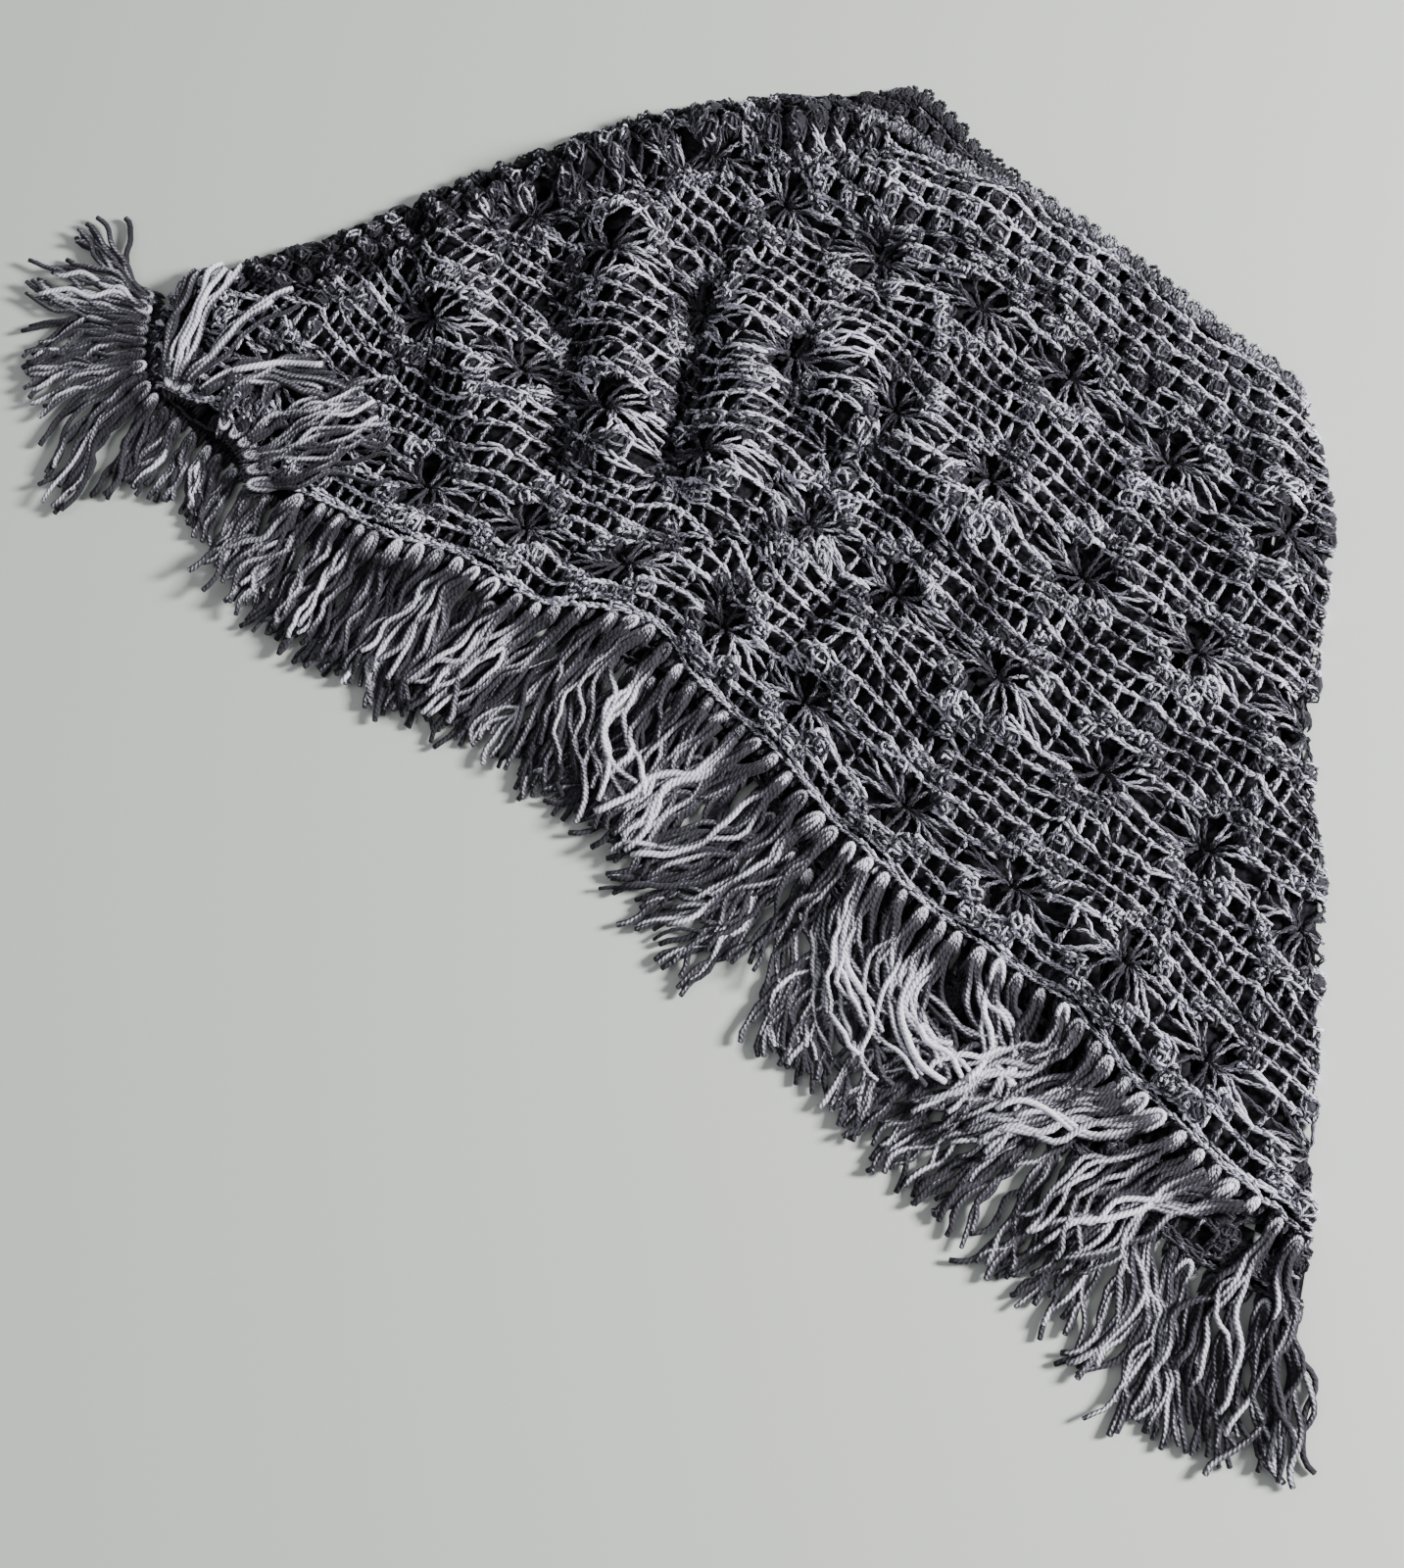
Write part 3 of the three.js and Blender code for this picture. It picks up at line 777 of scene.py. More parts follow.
@dataclass(frozen=True)
class YarnFinish:
    """Soft matt plied yarn.

    Attributes:
        name: the material's name.
        dark: colour of painted shade, for yarn deep in the stitches.
        middle: colour of the yarn's sides, between painted shade and painted highlight.
        light: colour of the painted highlight on its top.
        plies: plies twisted together.
        sheen: strength of the soft fuzz.
        relief: depth of the twist.
        twist: how much darker the furrows of the twist are painted, as painted shade.
        fuzz_scale: scale of the fine specks of its fibres.
        patch_scale: scale of its broad, faint patches.
    """

    name: str
    dark: Colour
    middle: Colour
    light: Colour
    plies: int = 3
    sheen: float = 0.2
    relief: float = 0.4
    twist: float = 0.42
    fuzz_scale: float = 1400.0
    patch_scale: float = 55.0

    def material(self) -> bpy.types.Material:
        """Makes the node material, which follows each yarn by its own UV map.

        Returns:
            The material.
        """
        made = bpy.data.materials.new(self.name)
        made.use_nodes = True
        nodes, links = made.node_tree.nodes, made.node_tree.links
        shader = nodes["Principled BSDF"]
        shader.inputs["Roughness"].default_value = 0.82
        shader.inputs["Specular IOR Level"].default_value = 0.25
        shader.inputs["Sheen Weight"].default_value = self.sheen
        shader.inputs["Sheen Roughness"].default_value = 0.45
        shader.inputs["Sheen Tint"].default_value = (0.85, 0.85, 1.0, 1.0)
        uv = nodes.new("ShaderNodeUVMap")
        uv.uv_map = "yarn"
        split = nodes.new("ShaderNodeSeparateXYZ")
        links.new(uv.outputs["UV"], split.inputs["Vector"])
        around = maths(made, "MULTIPLY", split.outputs["Y"], float(self.plies))
        along = maths(made, "MULTIPLY", split.outputs["X"], 3.0)
        phase = maths(made, "ADD", around, along)
        wave = maths(made, "SINE", maths(made, "MULTIPLY", phase, 2 * math.pi))
        furrow = maths(made, "MULTIPLY_ADD", wave, 0.5, 0.5)
        # Painted light and shade: the colour follows how high the yarn stands, dark low down and
        # light on top, scaled by its tone and darkened in the furrows of the twist.
        painted_top_light = maths(made, "POWER", attribute(made, "lit_share"), 1.9)
        share = maths(made, "MULTIPLY_ADD", attribute(made, "tone"), 0.85, 0.26)
        ply = maths(made, "MULTIPLY_ADD", furrow, self.twist, 1 - self.twist)
        total = maths(made, "MULTIPLY", maths(made, "MULTIPLY", painted_top_light, share), ply)
        fuzz = noise(made, self.fuzz_scale, 3.0)
        total = maths(made, "ADD", total, maths(made, "MULTIPLY_ADD", fuzz, 0.5, -0.25))
        patch = noise(made, self.patch_scale, 2.0)
        total = maths(made, "ADD", total, maths(made, "MULTIPLY_ADD", patch, 0.5, -0.25))
        stops = ((0.04, self.dark), (0.44, self.middle), (0.86, self.light))
        colour_by(made, total, stops)
        bump_by(made, maths(made, "MULTIPLY_ADD", fuzz, 0.5, furrow), self.relief, 0.0006)
        return made


@dataclass(frozen=True)
class ShadeSheetFinish:
    """Painted shade: a near-black, matt and fibrous finish for the sheets that stand for the
    shaded depth of the crochet under its top stitches.

    Attributes:
        name: the material's name.
        dark: colour of its deepest grain.
        light: colour of its highest grain.
        grain_scale: scale of the grain.
    """

    name: str = "yarn_in_shade"
    dark: Colour = (0.007, 0.0062, 0.0075)
    light: Colour = (0.026, 0.024, 0.029)
    grain_scale: float = 420.0

    def material(self) -> bpy.types.Material:
        """Makes the node material.

        Returns:
            The material.
        """
        made = bpy.data.materials.new(self.name)
        made.use_nodes = True
        shader = made.node_tree.nodes["Principled BSDF"]
        shader.inputs["Roughness"].default_value = 1.0
        shader.inputs["Specular IOR Level"].default_value = 0.02
        grain = noise(made, self.grain_scale, 5.0)
        colour_by(made, grain, ((0.35, self.dark), (0.7, self.light)))
        bump_by(made, grain, 0.5, 0.0008)
        return made


@dataclass
class Units:
    """The lengths of yarn that every stitch is made of.

    Attributes:
        bead: one link of chain, or any other short stretch.
        arc: one strand over a bobble.
        dome: a bobble's heart.
        leg: one strand of a star's leg.
        plain_leg: a whole leg, where it hardly shows.
        strand: one loose end of fringe.
        loop: the looped head of a tuft.
    """

    bead: YarnLength = field(default_factory=lambda: YarnLength(4, 4))
    arc: YarnLength = field(default_factory=lambda: YarnLength(5, 4))
    dome: YarnLength = field(default_factory=lambda: YarnLength(5, 5))
    leg: YarnLength = field(default_factory=lambda: YarnLength(9, 4))
    plain_leg: YarnLength = field(default_factory=lambda: YarnLength(6, 4))
    strand: YarnLength = field(default_factory=lambda: YarnLength(19, 5))
    loop: YarnLength = field(default_factory=lambda: YarnLength(11, 5))


@dataclass
class Lattice:
    """The meshes of the crochet: where rows and columns cross, drawn in round the stars.

    Attributes:
        seed: seeds the unevenness.
        first: the first column, counted from the star at STAR_U.
        last: the last column.
        rows: number of rows.
        pull: how far a star draws the crossings round it in, as a share of their distance.
        unevenness: how far crossings stray from their places.
    """

    seed: int
    first: int = -61
    last: int = 52
    rows: int = 35
    pull: float = 0.13
    unevenness: float = 0.65

    def __post_init__(self) -> None:
        """Places every crossing of the lattice."""
        chance = np.random.default_rng(self.seed)
        k = np.arange(self.first, self.last + 1)
        j = np.arange(self.rows)
        self.k, self.j = np.meshgrid(k, j, indexing="ij")
        half = REPEAT // 2
        # Steps from the nearest star's centre, and the plain yoke without stars
        self.fi = (self.k + half) % REPEAT - half
        self.fj = (self.j - STAR_LATTICE_ROW + half) % REPEAT - half
        self.reach = np.abs(self.fi) + np.abs(self.fj)
        self.yoke = self.j >= YOKE_ROW
        self.reach = np.where(self.yoke, REPEAT, self.reach)
        # The crossings' places, drawn in round the stars and a little uneven
        drawn = self.pull * smooth((6.0 - self.reach) / 3.0)
        uneven = self.unevenness
        self.u = STAR_U + MESH_U * (self.k - drawn * self.fi)
        self.u = self.u + uneven * chance.standard_normal(self.u.shape)
        self.v = STAR_V + MESH_V * (self.j - STAR_LATTICE_ROW - drawn * self.fj)
        self.v = self.v + uneven * chance.standard_normal(self.v.shape) * (self.j > 0)
        drift = 0.055 * self.u + 0.083 * self.v
        self.u = self.u + 1.1 * np.sin(drift + 0.7)
        self.v = self.v + 1.0 * np.sin(0.071 * self.u - 0.04 * self.v) * (self.j > 1)
        # Their heights: the rings of bobbles stand up and the stars sink in
        ring = smooth(1.0 - np.abs(self.reach - 3.6) / 2.2)
        sunk = smooth(1.0 - self.reach / 2.5)
        self.w = 1.5 * ring - 2.2 * sunk + 0.35 * chance.standard_normal(self.u.shape)
        self.w = np.where(self.yoke, 0.8, self.w)
        # The crossings inside a star, which only its legs span
        stretch = np.abs(self.fi) / 3.6 + np.abs(self.fj) / 2.2
        self.open = (stretch < 0.86) & ~self.yoke
        # The cells that hold a bobble, and the way from their star out to each
        ci = (self.k + half) % REPEAT - half + 0.5
        cj = (self.j - STAR_LATTICE_ROW + half) % REPEAT - half + 0.5
        self.cell_reach = np.where(self.yoke, REPEAT, np.abs(ci) + np.abs(cj))
        corner = (np.abs(ci) > 3) | (np.abs(cj) > 3)
        odd = (self.k + self.j) % 2 == 0
        self.bobbled = (self.cell_reach == 3) | ((self.cell_reach == 4) & (~corner | odd))
        self.bobbled &= ~((np.abs(ci) > 2) & (np.abs(cj) < 1))
        upper = (self.j >= YOKE_ROW - 4) & (self.cell_reach > 4)
        self.bobbled |= (self.yoke | upper) & odd & (chance.random(self.k.shape) < 0.9)
        self.out_u, self.out_v = np.sign(ci) * (np.abs(ci) < 4), np.sign(cj) * (np.abs(cj) < 4)

    def node(self, k: np.ndarray, j: np.ndarray) -> np.ndarray:
        """Gives crossings of the lattice.

        Args:
            k: their columns.
            j: their rows.

        Returns:
            Their places u, v and w.
        """
        i = k - self.first
        return np.stack([self.u[i, j], self.v[i, j], self.w[i, j]], axis=-1)


@dataclass(frozen=True)
class Bobbles:
    """Bobbles laid together, with their own differences, one row each.

    Attributes:
        at: their places u, v and w.
        tilt: how far each is turned off the way up the cloth.
        half: half the length of each.
        rise: how far each stands up.
        cup: how hollow the top of each is, from 0 to 1.
        bright: how light the yarn of each is.
    """

    at: np.ndarray
    tilt: np.ndarray
    half: np.ndarray
    rise: np.ndarray
    cup: np.ndarray
    bright: np.ndarray

    def placed(self, along: np.ndarray, aside: np.ndarray, height: np.ndarray) -> np.ndarray:
        """Turns places on each bobble into places of the flat pattern.

        Args:
            along: places along each bobble, by bobble and station.
            aside: places across it.
            height: heights above the cloth.

        Returns:
            Points u, v and w by bobble and station.
        """
        turn_cos, turn_sin = np.cos(self.tilt), np.sin(self.tilt)
        way = np.repeat(self.at[:, None, :], along.shape[1], axis=1)
        way[..., 0] += aside * turn_cos - along * turn_sin
        way[..., 1] += along * turn_cos + aside * turn_sin
        way[..., 2] += height
        return way


@dataclass
class LaceHalf:
    """The lace of one half: chains along its rows, posts between them, bobbles and stars.

    Attributes:
        half: the half that carries it.
        units: the lengths of yarn.
        seed: seeds the small differences.
        link_radius: radius of a strand of chain.
        post_radius: radius of a strand of a post.
        bobble_half: half the length of a bobble.
        bobble_rise: how far a bobble stands up.
        arc_radius: radius of a strand over a bobble.
        leg_radius: radius of a strand of a star's leg.
        shade: how much lighter all its yarn is painted; a negative value is painted shade.
        roll: width of the band along the left fold that lies in shade and has no stars.
    """

    half: Half
    units: Units
    seed: int
    link_radius: float = 0.77
    post_radius: float = 0.9
    bobble_half: float = 4.7
    bobble_rise: float = 4.0
    arc_radius: float = 0.62
    leg_radius: float = 0.64
    shade: float = 0.0
    roll: float = 30.0

    def __post_init__(self) -> None:
        """Prepares the lattice and the chance for small differences."""
        self.lattice = lat = Lattice(self.seed)
        middle_u = STAR_U + MESH_U * (lat.k - lat.fi)
        middle_v = STAR_V + MESH_V * (lat.j - lat.fj - STAR_LATTICE_ROW)
        inside = self.half.columns.at(middle_u) - self.half.left.at(middle_v)
        self.rolled = (inside < self.roll) & (middle_v > 70.0)
        lat.open = lat.open & ~self.rolled
        near = self.half.columns.at(lat.u) - self.half.left.at(lat.v) < self.roll
        near &= lat.v > 60.0
        most = ((lat.k + lat.j) % 2 == 0) | (lat.k % 2 == 0)
        lat.bobbled = np.where(near, most, lat.bobbled)
        lat.w = np.where(near, -1.2, lat.w)
        self.chance = np.random.default_rng(self.seed + 1)

    def _lay(self, way: np.ndarray) -> tuple[np.ndarray, np.ndarray]:
        """Lays ways of the flat pattern on the half.

        Args:
            way: points u, v, w of each way.

        Returns:
            The laid points and the outward directions.
        """
        return self.half.lay(way[..., 0], way[..., 1], way[..., 2])

    def _put(
        self,
        work: YarnWork,
        unit: YarnLength,
        way: np.ndarray,
        radii: np.ndarray,
        tone: float | np.ndarray,
        span: tuple[float, float] = (-0.9, 1.9),
        flatten: float = 1.0,
    ) -> None:
        """Lays yarn along ways of the flat pattern.

        Args:
            work: the piece that takes it.
            unit: the length of yarn that is copied.
            way: points u, v, w of each way.
            radii: the yarn's radius at each station.
            tone: how light the yarn is.
            span: the heights between which its painted highlight on top begins and is full.
            flatten: thickness across the cloth as a share of the width.
        """
        laid, out = self._lay(way)
        middle = way[:, unit.stations // 2]
        # Painted shade: yarn in the troughs of the folds is painted darker and on their ridges
        # lighter, the band along the left fold is painted darker, and the half's shade darkens
        # all of it.
        depth = np.clip(0.08 * self.half.hollow_at(middle[:, 0], middle[:, 1]), -0.4, 0.2)
        into = self.half.columns.at(middle[:, 0]) - self.half.left.at(middle[:, 1])
        band = 0.24 * smooth((into - 6.0) / 9.0) - 0.06
        depth = depth - band * smooth((self.roll - into) / 6.0) * smooth(middle[:, 1] / 90.0)
        tones = np.asarray(tone, float) + depth + self.shade
        work.add(unit, laid, out, radii, tones, flatten, way[..., 2], span)

    def _between(self, start: np.ndarray, end: np.ndarray, shares: np.ndarray) -> np.ndarray:
        """Gives points between two ends.

        Args:
            start: one end of each way.
            end: the other end of each way.
            shares: shares of the way, for each station.

        Returns:
            Points by way and station.
        """
        return start[:, None, :] + (end - start)[:, None, :] * shares[None, :, None]

    def _kept(self, at: np.ndarray, where: np.ndarray | None) -> np.ndarray:
        """Tells which stitches are kept.

        Args:
            at: the middle of each stitch in the flat pattern.
            where: a further choice, or None.

        Returns:
            True for each stitch that is kept.
        """
        kept = self.half.keeps(at[:, 0], at[:, 1])
        return kept if where is None else kept & where

    def rows(self, work: YarnWork, detail: Detail) -> None:
        """Lays the chains along the rows.

        Args:
            work: the piece that takes them.
            detail: how finely they are laid.
        """
        lat = self.lattice
        solid = ~lat.open[:-1] & ~lat.open[1:]
        k, j = lat.k[:-1][solid], lat.j[:-1][solid]
        start, end = lat.node(k, j), lat.node(k + 1, j)
        kept = self._kept((start + end) / 2, self._shows(start, detail))
        self.chain(work, start[kept], end[kept], detail)
        if detail is Detail.FINE:
            self.barbs(work, start[kept])
            self.hem_edge(work)

    def barbs(self, work: YarnWork, at: np.ndarray) -> None:
        """Lays the short slanting loop where each post is worked into its row.

        Args:
            work: the piece that takes them.
            at: the crossings that get one.
        """
        chance = self.chance
        share = np.array([0.0, 0.3, 0.7, 1.0])
        slant = 0.9 * chance.standard_normal((len(at), 1))
        way = np.repeat(at[:, None, :], 4, axis=1)
        way[..., 0] += -0.4 + 1.4 * slant * (share - 0.2)
        way[..., 1] += 0.9 - (3.6 + 0.8 * chance.standard_normal((len(at), 1))) * share
        rise = 0.3 * chance.standard_normal((len(at), 1))
        way[..., 2] += np.array([1.2, 1.7, 1.1, 0.0]) + rise
        light = 0.5 + 0.4 * chance.random(len(at))
        self._put(work, self.units.bead, way, np.array([0, 0.95, 0.9, 0]), light, (-0.5, 2.3))

    def hem_edge(self, work: YarnWork) -> None:
        """Lays the lumpy chain that ends the lace at its hem.

        Args:
            work: the piece that takes it.
        """
        lat = self.lattice
        pitch = 5.6
        u = np.arange(lat.u.min(), lat.u.max(), pitch)
        u = u + 0.5 * self.chance.standard_normal(u.shape)
        v = 0.9 + 0.35 * self.chance.standard_normal(u.shape)
        w = 1.0 + 0.35 * self.chance.standard_normal(u.shape)
        at = np.stack([u, v, w], axis=-1)
        start, end = at[:-1], at[1:]
        middle = (start + end) / 2
        kept = self._kept(middle, self._shows(middle, Detail.FINE))
        self.chain(work, start[kept], end[kept], Detail.FINE, 0.9, 0.66)

    def chain(
        self,
        work: YarnWork,
        start: np.ndarray,
        end: np.ndarray,
        detail: Detail,
        thick: float = 1.0,
        tone: float = 0.84,
    ) -> None:
        """Lays chain links between pairs of places.

        Args:
            work: the piece that takes them.
            start: where each stretch of chain starts.
            end: where it ends.
            detail: how finely it is laid.
            thick: thickness as a share of the usual.
            tone: how light the yarn is.
        """
        fine = detail is Detail.FINE
        links = 2 if fine else 1
        share = np.array([0.0, 0.24, 0.76, 1.0])
        size = thick * self.link_radius * np.array([0.1, 1.15, 0.82, 0.1])
        for link in range(links):
            low = (link - 0.24) / links
            high = (link + 1.3) / links
            for side in (-1.0, 1.0) if fine else (0.0,):
                way = self._between(start, end, low + (high - low) * share)
                spread = thick * side * np.array([1.0, 0.8, 0.35, 0.1])
                way[..., 1] += spread + 0.3 * self.chance.standard_normal((len(way), 1))
                way[..., 2] += np.array([0.6, 1.35, 1.5, 0.9])
                way[..., 2] += 0.35 * self.chance.standard_normal((len(way), 1))
                self._put(work, self.units.bead, way, size, tone, (-0.5, 2.3))

    def _shows(self, at: np.ndarray, detail: Detail) -> np.ndarray | None:
        """Chooses where a level of detail is laid: the front is fine all over.

        Args:
            at: places in the flat pattern.
            detail: the level of detail.

        Returns:
            True for each place that gets it, or None for all.
        """
        if self.half is FRONT:
            return None
        x = self.half.columns.at(at[:, 0])
        shown = ((x > 20) & (at[:, 1] < 52)) | ((x < -76) & (at[:, 1] > 254))
        return shown if detail is Detail.FINE else ~shown

    def posts(self, work: YarnWork, detail: Detail) -> None:
        """Lays the posts between the rows.

        Args:
            work: the piece that takes them.
            detail: how finely they are laid.
        """
        lat = self.lattice
        solid = ~lat.open[:, :-1] & ~lat.open[:, 1:]
        k, j = lat.k[:, :-1][solid], lat.j[:, :-1][solid]
        start, end = lat.node(k, j), lat.node(k, j + 1)
        kept = self._kept((start + end) / 2, self._shows(start, detail))
        start, end = start[kept], end[kept]
        share = np.array([0.02, 0.3, 0.7, 0.98])
        size = self.post_radius * np.array([0.0, 1.0, 1.0, 0.0])
        unit = self.units.bead
        for side in (-1.0, 1.0) if detail is Detail.FINE else (0.0,):
            way = self._between(start, end, share)
            way[..., 0] += side * np.array([1.15, 0.9, 0.15, -0.7])
            way[..., 0] += 0.25 * self.chance.standard_normal((len(way), 1))
            way[..., 2] += np.array([0.2, 0.45, 0.45, 0.2]) + 0.3 * side
            patch = np.sin(0.05 * start[:, 0] + 0.4) * np.sin(0.04 * start[:, 1] + 1.0)
            self._put(work, unit, way, size, 0.5 + 0.2 * patch)
        if detail is Detail.FINE:
            way = self._between(start, end, np.full(4, 0.5))
            lean = 0.6 * self.chance.standard_normal((len(way), 1))
            way[..., 0] += np.array([-1.7, -0.6, 0.6, 1.7])
            way[..., 1] += np.array([-0.6, -0.2, 0.2, 0.6]) + lean
            way[..., 2] += np.array([0.0, 1.0, 1.0, 0.0])
            self._put(work, unit, way, np.array([0, 0.85, 0.85, 0]), 0.46)

    def bobbles(self, work: YarnWork, detail: Detail) -> None:
        """Lays the bobbles: a padded heart, strands drawn over it and small loops on top.

        Args:
            work: the piece that takes them.
            detail: how finely they are laid.
        """
        made = self._choose_bobbles(detail)
        fine = detail is Detail.FINE
        share = np.linspace(0, 1, 5)
        arch = np.sin(math.pi * share)
        along = (share - 0.5)[None, :] * 1.8 * made.half
        heart = 0.42 * made.rise * (1 - 0.35 * made.cup) * arch[None, :]
        way = made.placed(along, np.zeros_like(along), heart)
        size = 0.86 * made.half * np.array([0, 0.8, 1.0, 0.8, 0])[None, :]
        dome = self.units.dome if fine else self.units.arc
        self._put(work, dome, way, size, 0.34, (-2.0, 8.0), 0.5)
        self._arcs(work, made, fine)
        if fine:
            self._loops(work, made)

    def _choose_bobbles(self, detail: Detail) -> Bobbles:
        """Finds the bobbles of one level of detail, each with its own size and tone.

        Args:
            detail: the level of detail.

        Returns:
            The bobbles.
        """
        lat = self.lattice
        chosen = lat.bobbled[:-1, :-1]
        k, j = lat.k[:-1, :-1][chosen], lat.j[:-1, :-1][chosen]
        at = lat.node(k, j) + lat.node(k + 1, j) + lat.node(k, j + 1) + lat.node(k + 1, j + 1)
        at = at / 4
        yoke = lat.yoke[:-1, :-1][chosen]
        near = lat.cell_reach[:-1, :-1][chosen] == 3
        at[:, 0] += np.where(near, 1.2, 0.0) * lat.out_u[:-1, :-1][chosen]
        at[:, 1] += np.where(near, 1.6, 0.0) * lat.out_v[:-1, :-1][chosen]
        at[:, 2] = np.maximum(at[:, 2], 0.2)
        kept = self._kept(at, self._shows(at, detail))
        at, yoke = at[kept], yoke[kept]
        chance, count = self.chance, len(at)
        rise = self.bobble_rise * np.where(yoke, 0.75, 1.0)
        rise = rise * (1 + 0.2 * chance.standard_normal(count))
        half = self.bobble_half * (1 + 0.1 * chance.standard_normal(count))
        tilt = 0.4 * chance.standard_normal(count)
        past, _ = self.half.outside(self.half.columns.at(at[:, 0]), at[:, 1])
        rise = rise * (0.4 + 0.6 * smooth((2.0 - past) / 12.0))
        cup = chance.random((count, 1))
        u, v = at[:, :1], at[:, 1:2]
        patch = np.sin(0.06 * u + 1.3) * np.sin(0.05 * v + 0.02 * u + 0.4)
        bright = 0.14 + 0.36 * chance.random((count, 1)) + 0.2 * patch
        return Bobbles(at, tilt[:, None], half[:, None], rise[:, None], cup, bright)

    def _arcs(self, work: YarnWork, made: Bobbles, fine: bool) -> None:
        """Draws strands over bobbles, from end to end.

        Args:
            work: the piece that takes them.
            made: the bobbles.
            fine: whether each gets four strands and not one thicker one.
        """
        chance, count = self.chance, len(made.at)
        share = np.linspace(0, 1, 5)
        arch = np.sin(math.pi * share)
        radius = self.arc_radius if fine else 1.5 * self.arc_radius
        for aside in (-3.5, -1.2, 1.2, 3.5) if fine else (0.0,):
            inner = abs(aside) < 3.0
            shift = aside + 0.45 * chance.standard_normal((count, 1))
            along = (share - 0.5)[None, :] * 2.0 * made.half
            along = along + 0.7 * chance.standard_normal((count, 1))
            bow = 0.8 * chance.standard_normal((count, 1)) * np.sin(2 * math.pi * share)
            sideways = shift * (0.35 + 0.75 * arch)[None, :] + bow
            height = made.rise * (arch**0.7)[None, :] * (1 - 0.025 * shift**2)
            height = height * (1 - 0.35 * made.cup) if inner else height
            height = height * (1 + 0.18 * chance.standard_normal((count, 1)))
            way = made.placed(along, sideways, 0.3 + np.maximum(height, 0.0))
            # Painted light and shade: strands sunk in a bobble's hollow top are painted darker
            # and the outer strands lighter.
            tone = made.bright - 0.1 * made.cup if inner else made.bright + 0.3 * made.cup
            size = radius * np.array([0, 1, 1.1, 1, 0])
            self._put(work, self.units.arc, way, size, tone[:, 0], self._bobble_span())

    def _loops(self, work: YarnWork, made: Bobbles) -> None:
        """Lays two strands across the ends of bobbles, and small loops on top.

        Args:
            work: the piece that takes them.
            made: the bobbles.
        """
        chance, count = self.chance, len(made.at)
        share = np.linspace(0, 1, 5)
        arch = np.sin(math.pi * share)
        span = self._bobble_span()
        # Painted highlight: the strands across a bobble and the small loops on its top are
        # painted lighter than the strands under them.
        for side in (-1.0, 1.0):
            ahead = side * (2.0 + 0.5 * chance.standard_normal((count, 1)))
            across = (share - 0.5)[None, :] * 1.6 * made.half
            height = made.rise * (0.5 + 0.4 * arch)[None, :]
            way = made.placed(ahead - side * 1.2 * (1 - arch)[None, :], across, height + 0.3)
            size = 0.68 * np.array([0, 1, 1.1, 1, 0])
            self._put(work, self.units.arc, way, size, made.bright[:, 0] + 0.2, span)
        short = np.array([-1.5, -0.55, 0.55, 1.5])
        for spot in range(3):
            turn = chance.random((count, 1)) * math.pi
            off = 1.9 * chance.standard_normal((count, 2))
            along = off[:, :1] + short[None, :] * np.cos(turn)
            aside = off[:, 1:] + short[None, :] * np.sin(turn) + (spot - 1.0) * 2.4
            drop = 0.09 * (along**2 + aside**2)
            height = made.rise + 0.5 - drop + np.array([-0.5, 0.25, 0.25, -0.5])[None, :]
            way = made.placed(along, aside, np.maximum(height, 0.5))
            size = np.array([0, 0.66, 0.66, 0])
            self._put(work, self.units.bead, way, size, made.bright[:, 0] + 0.3, span)

    def _bobble_span(self) -> tuple[float, float]:
        """Gives the heights between which the painted highlight on top of a bobble begins and is
        full.
        """
        return 0.2, 0.85 * self.bobble_rise + 1.6

    def stars(self, work: YarnWork, detail: Detail) -> None:
        """Lays the stars: long doubled legs that gather along the row at a sunken centre.

        Args:
            work: the piece that takes them.
            detail: how finely they are laid.
        """
        lat = self.lattice
        centres = (lat.fi == 0) & (lat.fj == 0) & ~lat.yoke & ~self.rolled
        k, j = lat.k[centres], lat.j[centres]
        inside = (k > lat.first + 4) & (k < lat.last - 4)
        k, j = k[inside], j[inside]
        ends = [(-4, 0), (4, 0)]
        for columns, row in (((-4, 4), 1), ((-3, 3), 1), ((-2, 2), 2), ((0, 1), 2)):
            ends += [(across, up) for across in columns for up in (-row, row)]
        fine = detail is Detail.FINE
        unit = self.units.leg if fine else self.units.plain_leg
        share = np.linspace(0, 1, unit.stations)
        centre = lat.node(k, j)
        for across, up in ends:
            way = self._leg_way(centre, lat.node(k + across, j + up), across, up, share)
            far = abs(across) > 2
            kept = self._kept(way[:, unit.stations // 2], self._shows(centre, detail))
            way = way[kept]
            if not len(way):
                continue
            twist = 2 * math.pi * (2.6 * share + self.chance.random((len(way), 1)))
            for side in (0.0, math.pi) if fine else (0.0,):
                strand = way.copy()
                if fine:
                    lead = np.array([-up, across], float) / math.hypot(across, up)
                    swing = 0.62 * np.cos(twist + side)
                    strand[..., 0] += swing * lead[0]
                    strand[..., 1] += swing * lead[1]
                    strand[..., 2] += 0.5 * np.sin(twist + side)
                radii = np.full(unit.stations, self.leg_radius if fine else 1.1)
                radii[[0, -1]] = 0.0
                tone = 0.05 + 0.2 * far + 0.14 * (across > 0)
                tone = tone + 0.28 * self.chance.random(len(strand))
                self._put(work, unit, strand, radii, tone, (-1.8, 2.2))

